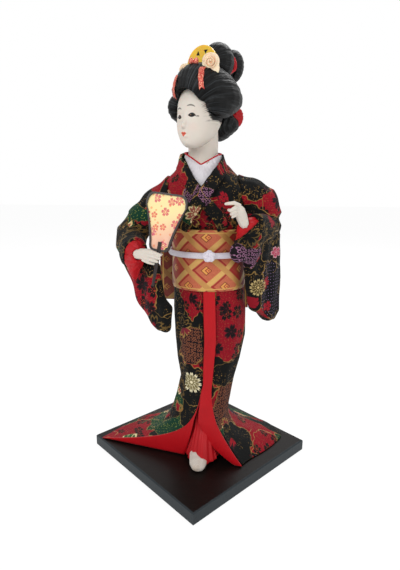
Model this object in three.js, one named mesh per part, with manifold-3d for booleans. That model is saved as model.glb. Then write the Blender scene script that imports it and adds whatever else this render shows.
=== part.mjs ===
// A geisha display doll on a square lacquered base, in millimetres.
// The base stands with one corner to the front: +X is the viewer's right, -Y the front, +Z up.
// The origin is the middle of the base's underside. Right and left are the doll's own.
import * as THREE from 'three';
import { mergeVertices } from 'three/addons/utils/BufferGeometryUtils.js';
import Module from 'manifold-3d';

// Driving sizes of the whole doll
const plateSide = 120;
const plateThickness = 8.5;
const plateChamfer = 0.8;
const figureHeight = 300;

// Running and seating clearances
const fitGap = 0.3;
const turningGap = 0.35;
const wideGap = 0.6;
const hairToHeadGap = 0.75;
const cutOverrun = 6;

// Cloth, paper and lining thicknesses
const kimonoCloth = 1.6;
const liningCloth = 0.9;
const underskirtCloth = 1.2;
const collarCloth = 1.2;
const obiCloth = 1.6;
const sleeveWall = 1.3;

// The wire that holds the doll on its base
const rodRadius = 1.6;
const rodFootDepth = 6;
const rodTopShare = 34.5;

// Neck, its plug and the turn of the head
const neckRadiusShare = 3.07;
const neckPlugBottomShare = 68.2;
const neckTopShare = 75.8;
const socketDepthBelowPlug = 1.2;
const headTurnDegrees = 34;
const headTiltDegrees = 6.5;

// Every place on the figure is a share of its height, in hundredths, measured from the top of the base
const hundredth = figureHeight / 100;
const place = ([x, y, z]) => new THREE.Vector3(
  x * hundredth,
  y * hundredth,
  plateThickness + z * hundredth,
);
const vector = ([x, y, z]) => new THREE.Vector3(x, y, z);
const heightOf = (share) => plateThickness + share * hundredth;
const sized = (share) => share * hundredth;

// Solids: every form is lofted through closed rings of points, and joined or cut as a solid
const wasm = await Module();
wasm.setup();
const mergeDistance = 1e-4;

function ringLoft(rings) {
  const count = rings[0].length;
  const points = rings.flat();
  const middles = [rings[0], rings[rings.length - 1]].map((ring) => ring
    .reduce((sum, point) => sum.add(point), new THREE.Vector3())
    .divideScalar(count));
  const faces = [];
  for (let level = 0; level + 1 < rings.length; level += 1) {
    for (let step = 0; step < count; step += 1) {
      const a = level * count + step;
      const b = level * count + ((step + 1) % count);
      faces.push(a, b, b + count, a, b + count, a + count);
    }
  }
  const last = (rings.length - 1) * count;
  for (let step = 0; step < count; step += 1) {
    const next = (step + 1) % count;
    faces.push(points.length, next, step);
    faces.push(points.length + 1, last + step, last + next);
  }
  return closedGeometry([...points, ...middles], faces);
}

// A closed loop of rings, such as a cord that meets itself
function loopLoft(rings) {
  const count = rings[0].length;
  const faces = [];
  rings.forEach((ring, level) => {
    const next = ((level + 1) % rings.length) * count;
    for (let step = 0; step < count; step += 1) {
      const a = level * count + step;
      const b = level * count + ((step + 1) % count);
      const c = next + ((step + 1) % count);
      faces.push(a, b, c, a, c, next + step);
    }
  });
  return closedGeometry(rings.flat(), faces);
}

// A sheet between two long edges: each ring is a front line of points and a back line of points.
// The caps are strips, so that a thin curved section is closed without crossing itself.
function stripLoft(sections) {
  const across = sections[0].front.length;
  const rings = sections.map(({ front, back }) => [...front, ...back.slice().reverse()]);
  const count = 2 * across;
  const faces = [];
  for (let level = 0; level + 1 < rings.length; level += 1) {
    for (let step = 0; step < count; step += 1) {
      const a = level * count + step;
      const b = level * count + ((step + 1) % count);
      faces.push(a, b, b + count, a, b + count, a + count);
    }
  }
  const last = (rings.length - 1) * count;
  for (let step = 0; step + 1 < across; step += 1) {
    const opposite = count - 1 - step;
    faces.push(step, opposite, opposite - 1, step, opposite - 1, step + 1);
    faces.push(last + step, last + opposite - 1, last + opposite);
    faces.push(last + step, last + step + 1, last + opposite - 1);
  }
  return closedGeometry(rings.flat(), faces);
}

function closedGeometry(points, faces) {
  let volume = 0;
  for (let i = 0; i < faces.length; i += 3) {
    const [a, b, c] = [points[faces[i]], points[faces[i + 1]], points[faces[i + 2]]];
    volume += a.dot(new THREE.Vector3().crossVectors(b, c));
  }
  const index = volume < 0 ? faces.slice().reverse() : faces;
  const geometry = new THREE.BufferGeometry();
  geometry.setAttribute('position', new THREE.Float32BufferAttribute(
    points.flatMap((point) => [point.x, point.y, point.z]),
    3,
  ));
  geometry.setIndex(index);
  return geometry;
}

function solid(geometry) {
  const plain = geometry.clone();
  plain.deleteAttribute('normal');
  plain.deleteAttribute('uv');
  const merged = mergeVertices(plain, mergeDistance);
  return new wasm.Manifold(new wasm.Mesh({
    numProp: 3,
    vertProperties: new Float32Array(merged.attributes.position.array),
    triVerts: new Uint32Array(merged.index.array),
  }));
}

function geometryOf(body) {
  const mesh = body.getMesh();
  const geometry = new THREE.BufferGeometry();
  geometry.setAttribute('position', new THREE.Float32BufferAttribute(mesh.vertProperties, 3));
  geometry.setIndex(new THREE.Uint32BufferAttribute(mesh.triVerts, 1));
  return geometry;
}

const joined = (...bodies) => bodies.reduce((whole, body) => whole.add(body));
const cut = (body, ...tools) => tools.reduce((rest, tool) => rest.subtract(tool), body);

// The largest piece that a cut leaves; the rest are crumbs of a cut that grazes a surface
function mainPiece(body) {
  return body.decompose().sort((a, b) => b.volume() - a.volume())[0];
}

// Straight blends through a table whose first column is the height
function between(tableShares, height) {
  const rising = tableShares[0][0] < tableShares[tableShares.length - 1][0];
  const rows = rising ? tableShares : tableShares.slice().reverse();
  const upper = Math.max(1, rows.findIndex((row) => row[0] >= height));
  const top = height > rows[rows.length - 1][0] ? rows.length - 1 : upper;
  const [low, high] = [rows[top - 1], rows[top]];
  const part = THREE.MathUtils.clamp((height - low[0]) / (high[0] - low[0]), 0, 1);
  return low.map((value, column) => value + (high[column] - value) * part);
}

const radians = THREE.MathUtils.degToRad;

// A level oval ring; each row is height, middle X, middle Y, half width, half depth
function ovalRing([height, x, y, wide, deep], sides, grow) {
  const ring = [];
  for (let step = 0; step < sides; step += 1) {
    const angle = (step / sides) * 2 * Math.PI;
    ring.push(new THREE.Vector3(
      x * hundredth + (wide * hundredth + grow) * Math.sin(angle),
      y * hundredth - (deep * hundredth + grow) * Math.cos(angle),
      plateThickness + height * hundredth,
    ));
  }
  return ring;
}

// A body of level ovals, grown outward by a clearance and, if asked, past both ends
function ovalBody(rowsShares, { sides = 28, grow = 0, past = 0 } = {}) {
  const rings = rowsShares.map((row) => ovalRing(row, sides, grow));
  const rising = rowsShares[0][0] < rowsShares[rowsShares.length - 1][0] ? 1 : -1;
  rings[0].forEach((point) => { point.z -= past * rising; });
  rings[rings.length - 1].forEach((point) => { point.z += past * rising; });
  return solid(ringLoft(rings));
}

// A limb along a smooth route: each station is a place with a tall and a wide half size
function limbRings(stationsShares, { sides = 10, steps = 8, grow = 0, tallAlong = null } = {}) {
  const route = new THREE.CatmullRomCurve3(stationsShares.map(place), false, 'centripetal');
  const sizes = new THREE.CatmullRomCurve3(stationsShares.map((row) => new THREE.Vector3(
    row[3] * hundredth,
    (row[4] ?? row[3]) * hundredth,
    0,
  )), false, 'centripetal');
  const rings = [];
  for (let step = 0; step <= steps; step += 1) {
    const part = step / steps;
    const middle = route.getPoint(part);
    const along = route.getTangent(part);
    const size = sizes.getPoint(part);
    const tall = (tallAlong ? vector(tallAlong) : new THREE.Vector3(0, 0, 1));
    tall.addScaledVector(along, -tall.dot(along)).normalize();
    const wide = new THREE.Vector3().crossVectors(along, tall).normalize();
    rings.push({ middle, along, tall, wide, size, grow, sides });
  }
  return rings;
}

function sectionRing({ middle, tall, wide, size, grow, sides }, scale = 1) {
  const ring = [];
  for (let side = 0; side < sides; side += 1) {
    const angle = (side / sides) * 2 * Math.PI;
    ring.push(middle.clone()
      .addScaledVector(tall, (size.x + grow) * scale * Math.cos(angle))
      .addScaledVector(wide, (size.y + grow) * scale * Math.sin(angle)));
  }
  return ring;
}

// Round ends are two smaller rings past the last section
const roundEndShares = [[0.55, 0.8], [0.85, 0.45]];

function limb(stationsShares, options = {}) {
  const sections = limbRings(stationsShares, options);
  const rings = sections.map((section) => sectionRing(section));
  const extend = (section, direction, add) => roundEndShares.forEach(([reach, scale]) => {
    const moved = { ...section, middle: section.middle.clone().addScaledVector(
      section.along,
      direction * reach * (Math.min(section.size.x, section.size.y) + section.grow),
    ) };
    add(sectionRing(moved, scale));
  });
  if (options.roundStart) extend(sections[0], -1, (ring) => rings.unshift(ring));
  if (options.roundEnd) extend(sections[sections.length - 1], 1, (ring) => rings.push(ring));
  const beyond = (section, direction) => sectionRing({
    ...section,
    middle: section.middle.clone().addScaledVector(section.along, direction * options.past),
  });
  if (options.past && !options.roundStart) rings.unshift(beyond(sections[0], -1));
  if (options.past && !options.roundEnd) rings.push(beyond(sections[sections.length - 1], 1));
  return solid(ringLoft(rings));
}

// An ellipsoid with its half sizes along X, Y and Z
function ellipsoid(middle, halves, grow = 0, around = 16, down = 10) {
  const ball = new THREE.SphereGeometry(1, around, down);
  ball.rotateX(Math.PI / 2);
  ball.scale(halves.x + grow, halves.y + grow, halves.z + grow);
  ball.translate(middle.x, middle.y, middle.z);
  return solid(ball);
}

function box(low, high) {
  const size = high.clone().sub(low);
  const block = new THREE.BoxGeometry(size.x, size.y, size.z);
  block.translate(...low.clone().add(high).divideScalar(2).toArray());
  return solid(block);
}

// Materials as they look in the hand
const finish = (color, roughness, metalness = 0) => new THREE.MeshStandardMaterial({
  color: new THREE.Color(...color),
  roughness,
  metalness,
});
const finishes = {
  lacquer: () => finish([0.07, 0.06, 0.05], 0.4),
  steel: () => finish([0.5, 0.5, 0.52], 0.4, 1),
  paper: () => finish([0.72, 0.66, 0.54], 0.9),
  skin: () => finish([0.87, 0.84, 0.8], 0.6),
  sock: () => finish([0.8, 0.76, 0.72], 0.9),
  kimono: () => finish([0.12, 0.08, 0.08], 0.8),
  kimonoRed: () => finish([0.55, 0.08, 0.12], 0.8),
  satin: () => finish([0.78, 0.06, 0.08], 0.45),
  white: () => finish([0.88, 0.86, 0.88], 0.8),
  obi: () => finish([0.68, 0.36, 0.16], 0.6),
  hair: () => finish([0.03, 0.03, 0.03], 0.5),
  amber: () => finish([0.88, 0.66, 0.05], 0.3),
  petal: () => finish([0.97, 0.86, 0.74], 0.7),
  glitter: () => finish([0.8, 0.25, 0.2], 0.5),
  fanPaper: () => finish([0.93, 0.82, 0.55], 0.6),
  fanWood: () => finish([0.16, 0.12, 0.11], 0.4),
};

const doll = new THREE.Group();
function add(name, body, material) {
  const mesh = new THREE.Mesh(geometryOf(body), material);
  mesh.name = name;
  doll.add(mesh);
}

// Base plate: a square board turned by an eighth, with its upper edges eased
const rodHeelShares = [2.6, 2.2];
const rodX = rodHeelShares[0] * hundredth;
const rodY = rodHeelShares[1] * hundredth;
function basePlate() {
  const half = plateSide / 2;
  const corners = [[-1, -1], [1, -1], [1, 1], [-1, 1]];
  const levels = [[half, 0], [half, plateThickness - plateChamfer], [half - plateChamfer, plateThickness]];
  const board = solid(ringLoft(levels.map(([reach, z]) => corners
    .map(([x, y]) => new THREE.Vector3(x * reach, y * reach, z)))));
  return board.rotate([0, 0, 45]);
}

function rod(grow = 0) {
  const bottom = plateThickness - rodFootDepth - grow;
  const length = heightOf(rodTopShare) + grow - bottom;
  const wire = new THREE.CylinderGeometry(rodRadius + grow, rodRadius + grow, length, 12);
  wire.rotateX(Math.PI / 2);
  wire.translate(rodX, rodY, bottom + length / 2);
  return solid(wire);
}

// Body core: wound paper from the hips to the shoulders. Rows: height, X, Y, half width, half depth
const coreShares = [
  [20.5, 2.3, 0, 5.4, 5.2],
  [30.5, 2.7, 0, 7.4, 6.2],
  [43.8, 2.4, 0, 6.9, 6.1],
  [56.5, 2.2, 0, 7.2, 6.0],
  [63.5, 1.6, 0.1, 8.6, 5.6],
  [67.2, 1.1, 0.3, 7.6, 4.7],
  [69.6, 0.9, 0.5, 5.4, 4.1],
  [70.4, 0.8, 0.6, 4.8, 3.9],
];
const core = (grow = 0) => ovalBody(coreShares, { sides: 12, grow, past: grow });

// Bodice: the cloth over the core, from under the obi to the neck
const bodiceShares = [
  [46.8, 2.3, 0, 8.5, 7.6],
  [56.5, 2.2, 0, 8.5, 7.3],
  [60.5, 2.0, 0, 9.1, 7.3],
  [65.5, 1.3, 0.1, 10.0, 6.9],
  [68.2, 1.0, 0.4, 9.2, 5.9],
  [70.5, 0.9, 0.7, 7.0, 4.9],
  [72.4, 0.8, 0.9, 5.3, 4.4],
  [74.2, 0.8, 1.1, 4.7, 4.3],
];
const bodice = (grow = 0, past = 0) => ovalBody(bodiceShares, { sides: 20, grow, past });

// Neck and head stand on the neck's own upright axis, and the neck spreads to a small bust under the collars
const neckShares = [0.7, 0.4];
const neckX = sized(neckShares[0]);
const neckY = sized(neckShares[1]);
const neckRadius = sized(neckRadiusShare);
const neckTop = heightOf(neckTopShare);
const throatRadiusShare = 3.5;
const bustShares = [[68.2, 3.07], [69.4, 3.2], [70.8, 3.7], [72.2, 3.7], [74.0, 3.5], [75.8, 3.5]];
const neckSideCount = 18;
function neckPlug(grow = 0) {
  const bottom = heightOf(neckPlugBottomShare) - (grow > 0 ? socketDepthBelowPlug : 0);
  const length = neckTop - bottom;
  const plug = new THREE.CylinderGeometry(neckRadius + grow, neckRadius + grow, length, neckSideCount);
  plug.rotateX(Math.PI / 2);
  plug.translate(neckX, neckY, bottom + length / 2);
  const bust = bustShares.map(([height, radius]) => [height, ...neckShares, radius, radius]);
  return joined(solid(plug), ovalBody(bust, { sides: neckSideCount, grow, past: 0 }));
}

// Head frame: face to the front, turned and tilted on the neck afterwards
function onNeck(body) {
  return body
    .translate([0, 0, -neckTop])
    .rotate([0, headTiltDegrees, 0])
    .rotate([0, 0, -headTurnDegrees])
    .translate([neckX, neckY, neckTop]);
}

// Head: rows of height, X, Y, half width, half depth
const headShares = [
  [75.3, 0.4, -5.2, 1.0, 1.0],
  [75.8, 0.35, -4.9, 1.9, 2.1],
  [76.7, 0.25, -4.2, 2.95, 3.2],
  [78.1, 0.1, -3.4, 3.95, 4.3],
  [79.9, -0.1, -2.7, 4.6, 5.1],
  [82.2, -0.2, -2.1, 4.95, 5.6],
  [84.8, -0.35, -1.7, 5.1, 5.7],
  [87.2, -0.25, -1.5, 4.5, 5.1],
  [89.2, 0, -1.3, 2.8, 3.3],
  [89.9, 0, -1.3, 1.2, 1.4],
];
const neckInsideHead = sized(4.7);
const noseShares = { middle: [-0.15, -7.8, 79.8], halves: [0.45, 0.6, 0.9] };
const mouthShares = { middle: [0.1, -7.5, 77.9], halves: [0.55, 0.35, 0.45] };
const shareBall = ({ middle, halves }, grow = 0, around = 16, down = 10) => ellipsoid(
  place(middle),
  vector(halves).multiplyScalar(hundredth),
  grow,
  around,
  down,
);
const skull = (grow = 0, sides = 22) => ovalBody(headShares, { sides, grow, past: grow });
function neckInHead(grow = 0) {
  const radius = throatRadiusShare * hundredth + grow;
  const post = new THREE.CylinderGeometry(radius, radius, neckInsideHead, neckSideCount);
  post.rotateX(Math.PI / 2);
  post.translate(neckX, neckY, neckTop + neckInsideHead / 2);
  return solid(post);
}

// Hair, in the head frame: a cap with its front roll, side wings, nape roll and the two bun lobes
const hairCapShares = [
  [83.4, -0.1, 0.2, 6.0, 4.6],
  [84.2, -0.1, 0.3, 7.1, 6.2],
  [85.6, 0, 0.2, 7.8, 7.8],
  [87.2, 0, -0.3, 8.0, 8.3],
  [89.2, 0, -0.8, 7.2, 7.7],
  [91.0, 0, -1.4, 5.8, 6.3],
  [92.4, 0, -2.0, 3.9, 4.3],
  [93.0, 0, -2.3, 1.9, 2.1],
];
const wingShares = {
  right: { middle: [-6.9, 0.2, 84.2], halves: [2.6, 5.2, 3.5] },
  left: { middle: [4.9, -1.4, 85.1], halves: [2.7, 5.0, 2.8] },
};
const napeRollShares = { middle: [-0.8, 5.6, 81.3], halves: [4.5, 4.3, 3.8] };
const faceWindowShares = { middle: [-0.7, -7.4, 81.6], halves: [4.25, 5.0, 5.9] };
const bunFrontShares = { middle: [0.5, 1.9, 94.4], halves: [3.7, 3.9, 4.1] };
const bunRearShares = { middle: [-0.6, 9.5, 95.1], halves: [2.9, 3.0, 3.8] };
const bunWaistShares = [
  [0.3, 4.3, 94.0, 2.7, 2.5],
  [0.0, 6.2, 94.3, 2.2, 2.0],
  [-0.5, 8.0, 94.8, 2.4, 2.1],
];
const bunWaistMiddleShare = 6.3;
const hairCap = (grow = 0) => ovalBody(hairCapShares, { sides: 22, grow, past: grow });
const hairSideCount = 16;
const hairRingCount = 8;
const windowSideCount = 18;
const windowRingCount = 10;
const wing = (side, grow = 0) => shareBall(wingShares[side], grow, hairSideCount, hairRingCount);
const napeRoll = (grow = 0) => shareBall(napeRollShares, grow, hairSideCount, hairRingCount);
const faceWindow = () => shareBall(faceWindowShares, 0, windowSideCount, windowRingCount);
const bunFront = (grow = 0) => joined(
  shareBall(bunFrontShares, grow, 14, 8),
  limb(bunWaistShares, { sides: 10, steps: 3, grow }),
);
const bunRear = (grow = 0) => shareBall(bunRearShares, grow, 12, 8);

// Ornaments of the hair
const combRadius = sized(4);
const combThickness = 1.6;
const combBaseHeight = heightOf(92.8);
const combX = sized(-0.35);
const combY = sized(-2.8);
const combDropDegrees = 28;
const combHoleShares = [[-0.42, 0.34], [-0.12, 0.62], [0.28, 0.6], [0.55, 0.3]];
const combHoleRadius = sized(0.57);
const rosePlaceShares = { left: [3.2, -5.3, 93.0], right: [-2.9, -5.6, 91.4] };
const roseRadius = { left: sized(2.3), right: sized(1.5) };
const petalCount = 5;
const roseTurn = 0.4;
const petalShares = { reach: 0.5, back: 0.15, round: 0.52, deep: 0.34 };
const heartShares = { forward: 0.1, round: 0.45, deep: 0.42 };
const bowHalf = vector([0.73, 0.5, 0.67]).multiplyScalar(hundredth);
const bowKnotHalf = vector([0.43, 0.53, 0.5]).multiplyScalar(hundredth);
const bowShares = [-0.2, -6.0, 92.8];
const ribbonWidth = sized(1);
const ribbonThickness = 0.9;
const ribbonSlantDegrees = { left: 14, right: 15 };
const ribbonTopShares = { left: [2.8, 91.5], right: [-3.1, 89.9] };
const ribbonLength = sized(4.67);
const bunRibbonRadius = 0.9;
const napeBandShares = { middle: [0.9, 6.8, 83.5], halves: [4.4, 4.3, 3.5] };
const napeBandRoomShares = { low: [-6, 4.6, 78], high: [7, 14, 88] };

function comb() {
  const outline = new THREE.Shape();
  const drop = radians(combDropDegrees);
  outline.absarc(0, 0, combRadius, -drop, Math.PI + drop, false);
  outline.lineTo(combRadius * Math.cos(drop), -combRadius * Math.sin(drop));
  combHoleShares.forEach(([x, z], index) => {
    const hole = new THREE.Path();
    const corners = 3;
    for (let corner = 0; corner < corners; corner += 1) {
      const angle = (corner / corners) * 2 * Math.PI + (index % 2 ? Math.PI / 2 : -Math.PI / 2);
      const point = [
        x * combRadius + combHoleRadius * Math.cos(angle),
        z * combRadius + combHoleRadius * Math.sin(angle),
      ];
      if (corner === 0) hole.moveTo(...point);
      else hole.lineTo(...point);
    }
    hole.closePath();
    outline.holes.push(hole);
  });
  const plate = new THREE.ExtrudeGeometry(outline, {
    depth: combThickness,
    bevelEnabled: false,
    curveSegments: 14,
  });
  plate.rotateX(Math.PI / 2);
  plate.translate(combX, combY + combThickness / 2, combBaseHeight);
  return solid(plate);
}

function rose(side) {
  const middle = place(rosePlaceShares[side]);
  const radius = roseRadius[side];
  const half = (round, deep) => new THREE.Vector3(round, deep, round).multiplyScalar(radius);
  const petals = [];
  for (let petal = 0; petal < petalCount; petal += 1) {
    const angle = (petal / petalCount) * 2 * Math.PI + roseTurn;
    const offset = new THREE.Vector3(
      petalShares.reach * Math.cos(angle),
      petalShares.back,
      petalShares.reach * Math.sin(angle),
    );
    petals.push(ellipsoid(
      middle.clone().addScaledVector(offset, radius),
      half(petalShares.round, petalShares.deep),
      0,
      6,
      4,
    ));
  }
  const heart = ellipsoid(
    middle.clone().add(new THREE.Vector3(0, -radius * heartShares.forward, 0)),
    half(heartShares.round, heartShares.deep),
    0,
    8,
    5,
  );
  return joined(heart, ...petals);
}

function hairBow(grow = 0) {
  const middle = place(bowShares);
  const loops = [-1, 1].map((side) => ellipsoid(
    middle.clone().add(new THREE.Vector3(side * bowHalf.x, 0, 0)),
    bowHalf,
    grow,
    8,
    6,
  ));
  return joined(ellipsoid(middle, bowKnotHalf, grow, 8, 6), ...loops);
}

function ribbonSlab(side, direction) {
  const block = box(
    new THREE.Vector3(-ribbonWidth / 2, -plateSide, -ribbonLength),
    new THREE.Vector3(ribbonWidth / 2, 0, 0),
  );
  const [x, z] = ribbonTopShares[side];
  return block.rotate([0, -direction * ribbonSlantDegrees[side], 0]).translate(place([x, 0, z]).toArray());
}
const ribbonOuter = fitGap + ribbonThickness;
const ribbon = (side, direction) => cut(
  ribbonSlab(side, direction).intersect(joined(hairCap(ribbonOuter), wing(side, ribbonOuter))),
  hairCap(fitGap),
  wing(side, fitGap),
);

// Ribbon round the waist of the bun: a closed ring of round section
function bunRibbon() {
  const middle = place([bunWaistShares[1][0], bunWaistMiddleShare, bunWaistShares[1][2]]);
  const reach = {
    wide: bunWaistShares[1][4] * hundredth + fitGap + bunRibbonRadius,
    tall: bunWaistShares[1][3] * hundredth + fitGap + bunRibbonRadius,
  };
  const turns = 16;
  const sides = 6;
  const rings = [];
  for (let turn = 0; turn < turns; turn += 1) {
    const angle = (turn / turns) * 2 * Math.PI;
    const outward = new THREE.Vector3(Math.cos(angle), 0, Math.sin(angle));
    const centre = middle.clone().add(new THREE.Vector3(
      reach.wide * Math.cos(angle),
      0,
      reach.tall * Math.sin(angle),
    ));
    const ring = [];
    for (let side = 0; side < sides; side += 1) {
      const roll = (side / sides) * 2 * Math.PI;
      ring.push(centre.clone()
        .addScaledVector(outward, bunRibbonRadius * Math.cos(roll))
        .add(new THREE.Vector3(0, bunRibbonRadius * 2 * Math.sin(roll), 0)));
    }
    rings.push(ring);
  }
  return solid(loopLoft(rings));
}

// Legs and feet
const legFrontShares = [
  [1.6, -0.6, 20.3, 2.3],
  [1.6, -0.6, 16, 2.2],
  [0.9, -2.6, 9, 1.7],
  [0.3, -5.2, 4.2, 1.4],
];
const legRearShares = [
  [4.0, 0.9, 20.3, 2.3],
  [3.6, 1.0, 15, 2.2],
  [2.8, 1.8, 8, 1.7],
  [2.6, 2.2, 3.6, 1.5],
];
const footFrontShares = [
  [0.2, -4.6, 2.7, 2.5, 1.6],
  [0.2, -6.8, 2.5, 2.5, 1.9],
  [0.3, -10, 1.8, 1.9, 2.2],
  [0.35, -13.0, 1.4, 1.5, 2.25],
  [0.4, -14.4, 1.1, 1.1, 1.7],
];
const footRearShares = [
  [2.6, 4.0, 1.7, 1.6, 1.5],
  [2.6, 2.2, 1.7, 1.9, 1.7],
  [2.6, -0.4, 1.5, 1.5, 2.0],
  [2.6, -2.6, 1.0, 1.0, 1.7],
];
const toeSplitWidth = 0.6;
const toeSplitLength = sized(3);
const toeSplitX = sized(-0.2);
const toeSplitTop = heightOf(5.5);
const leg = (shares, grow = 0) => limb(shares, {
  sides: 9,
  steps: 5,
  grow,
  past: grow,
  tallAlong: [0, 1, 0],
});
const overBase = () => box(
  new THREE.Vector3(-plateSide, -plateSide, plateThickness + fitGap),
  new THREE.Vector3(plateSide, plateSide, figureHeight),
);
const foot = (shares, grow = 0) => limb(shares, {
  sides: 10,
  steps: 5,
  grow,
  roundStart: true,
  roundEnd: true,
});
const toeSplit = () => {
  const tip = place(footFrontShares[footFrontShares.length - 1]);
  return box(
    new THREE.Vector3(tip.x + toeSplitX - toeSplitWidth / 2, tip.y - cutOverrun, 0),
    new THREE.Vector3(tip.x + toeSplitX + toeSplitWidth / 2, tip.y + toeSplitLength, toeSplitTop),
  );
};

// Arms: wire padded with paper, from the core to the wrist
const armShares = {
  right: [
    [-5.0, 0.7, 66.0, 1.8],
    [-10.5, 0.7, 62.6, 1.7],
    [-16.2, 0.4, 56.2, 1.4],
    [-16.9, -2.6, 53.8, 1.3],
    [-16.0, -6.6, 52.5, 1.2],
    [-14.9, -10.4, 51.9, 1.0],
  ],
  left: [
    [6.0, 0.7, 66.0, 1.8],
    [12.2, 0.7, 63.0, 1.7],
    [15.8, 0.4, 58.6, 1.4],
    [15.5, -2.8, 57.0, 1.3],
    [13.0, -6.8, 57.4, 1.2],
    [10.6, -10.8, 58.3, 1.0],
  ],
};
const arm = (side, grow = 0) => limb(armShares[side], {
  sides: 7,
  steps: 8,
  grow,
  past: grow,
  roundEnd: true,
});

// Sleeves: a tube round the arm and the bag that hangs under the forearm
const sleeveShares = {
  right: [
    [-5.2, 0.8, 65.8, 4.3, 4.4],
    [-11.1, 0.6, 61.8, 4.0, 4.1],
    [-16.7, -0.3, 55.2, 4.0, 3.9],
    [-15.4, -6.4, 52.4, 3.8, 3.2],
    [-14.3, -9.6, 51.6, 4.1, 2.7],
  ],
  left: [
    [7.6, 0.8, 65.8, 4.3, 4.4],
    [14.2, 0.6, 63.2, 4.9, 4.4],
    [15.6, -0.4, 57.0, 4.4, 3.9],
    [13.0, -6.6, 56.4, 4.8, 3.2],
    [11.2, -10.0, 56.6, 5.0, 2.7],
  ],
};
const mouthLean = { right: [0.1, 0.1, 1], left: [0.55, 0.17, 0.82] };
const sleeveTube = (side, grow = 0) => limb(sleeveShares[side], {
  sides: 13,
  steps: 8,
  grow,
  tallAlong: mouthLean[side],
});
// The left sleeve's mouth droops into a roll of cloth under the forearm
const drapeRollShares = [
  [8.9, -11.2, 52.6, 2.2, 1.7],
  [11.6, -8.6, 52.6, 3.0, 2.3],
  [14.4, -3.6, 53.0, 3.4, 2.6],
];
const drapeRoll = () => limb(drapeRollShares, { sides: 10, steps: 3, roundStart: true });
const bagShares = {
  right: {
    corner: [-19.9, 1.3],
    along: [0.76, -0.65],
    outline: [[1.6, 53.8], [0.9, 51.5], [4.0, 45.4], [6.9, 40.2], [10.7, 36.4], [14.8, 33.4], [17.0, 33.4],
      [17.4, 39.2], [14.9, 42], [13.3, 48.8], [6.7, 53.2]],
  },
  left: {
    corner: [19.4, 1.7],
    along: [-0.65, -0.76],
    outline: [[0.6, 56], [0, 47], [0.2, 36.2], [2, 33.9], [4.2, 34.2], [9.7, 38], [11.6, 43],
      [12.4, 48.2], [13.0, 53], [6.7, 57]],
  },
};
const bagThickness = sized(3.6);
const bagRound = sized(1.13);
function sleeveBag(side, grow = 0) {
  const { corner, along, outline } = bagShares[side];
  const shape = new THREE.Shape(outline.map(([s, z]) => new THREE.Vector2(s * hundredth, z * hundredth)));
  const bag = new THREE.ExtrudeGeometry(shape, {
    depth: bagThickness - 2 * bagRound,
    bevelEnabled: true,
    bevelThickness: bagRound + grow,
    bevelSize: bagRound + grow,
    bevelOffset: -bagRound,
    bevelSegments: 2,
    steps: 1,
  });
  bag.translate(0, 0, -(bagThickness - 2 * bagRound) / 2);
  const direction = new THREE.Vector3(along[0], along[1], 0).normalize();
  const up = new THREE.Vector3(0, 0, 1);
  const across = new THREE.Vector3().crossVectors(direction, up);
  bag.applyMatrix4(new THREE.Matrix4().makeBasis(direction, up, across));
  bag.translate(corner[0] * hundredth, corner[1] * hundredth, plateThickness);
  return solid(bag);
}

// Cuff lining: a red funnel from inside each sleeve's mouth to the wrist
const cuffStartShare = 0.8;
const wristShares = { right: [-13.3, -11.9, 51.9, 1.9, 1.6], left: [10.0, -11.7, 59.0, 1.9, 1.6] };
function cuffTube(side, shrink, past = 0) {
  const rows = sleeveShares[side];
  const [before, mouth] = [rows[rows.length - 2], rows[rows.length - 1]];
  const start = before.map((value, column) => value + (mouth[column] - value) * (1 - cuffStartShare));
  return limb([start, mouth, wristShares[side]], {
    sides: 13,
    steps: 2,
    grow: -shrink,
    past,
    tallAlong: mouthLean[side],
  });
}

// Hands: palm, four fingers and thumb; each row is a place with its half sizes
const handShares = {
  right: {
    palm: [
      [-13.9, -11.4, 51.9, 1.0, 0.85],
      [-13.2, -12.2, 52.1, 1.1, 0.85],
      [-11.4, -13.6, 52.3, 1.2, 0.85],
    ],
    fingers: [
      [[-11.6, -13.6, 53.1, 0.48], [-9.6, -15.0, 53.0, 0.45], [-7.8, -15.2, 52.4, 0.36]],
      [[-11.6, -13.8, 52.4, 0.5], [-9.7, -15.3, 52.2, 0.46], [-8.0, -15.5, 51.7, 0.38]],
      [[-11.7, -13.7, 51.7, 0.48], [-9.9, -15.2, 51.4, 0.44], [-8.5, -15.2, 51.0, 0.36]],
      [[-11.9, -13.4, 51.1, 0.44], [-10.4, -14.6, 50.7, 0.4], [-9.2, -14.6, 50.4, 0.34]],
    ],
    thumb: [[-12.6, -12.6, 52.9, 0.55], [-10.0, -12.8, 53.0, 0.5], [-7.9, -13.3, 52.3, 0.42]],
  },
  left: {
    palm: [
      [10.3, -11.2, 58.2, 1.0, 0.95],
      [9.6, -12.9, 59.9, 1.3, 1.15],
      [8.8, -13.9, 61.8, 1.25, 1.15],
    ],
    fingers: [
      [[8.9, -14.2, 62.8, 0.5], [7.6, -15.2, 63.4, 0.44], [5.9, -15.6, 63.2, 0.32]],
      [[8.8, -14.3, 62.3, 0.5], [7.8, -15.4, 62.4, 0.46], [6.9, -15.4, 61.8, 0.38]],
      [[8.7, -14.2, 61.6, 0.5], [7.8, -15.2, 61.6, 0.45], [7.1, -15.0, 61.1, 0.37]],
      [[8.6, -14.0, 61.0, 0.46], [7.9, -14.8, 60.9, 0.42], [7.4, -14.6, 60.5, 0.34]],
    ],
    thumb: [[9.3, -13.6, 60.4, 0.52], [8.0, -13.5, 61.5, 0.46], [6.6, -14.1, 61.9, 0.36]],
  },
};
const palm = (side, grow = 0) => limb(handShares[side].palm, {
  sides: 8,
  steps: 3,
  grow,
  roundStart: true,
  roundEnd: true,
});
function hand(side) {
  const { fingers, thumb } = handShares[side];
  const digits = [...fingers, thumb].map((rows) => limb(rows, { sides: 6, steps: 2, roundEnd: true }));
  return joined(palm(side), ...digits);
}

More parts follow.
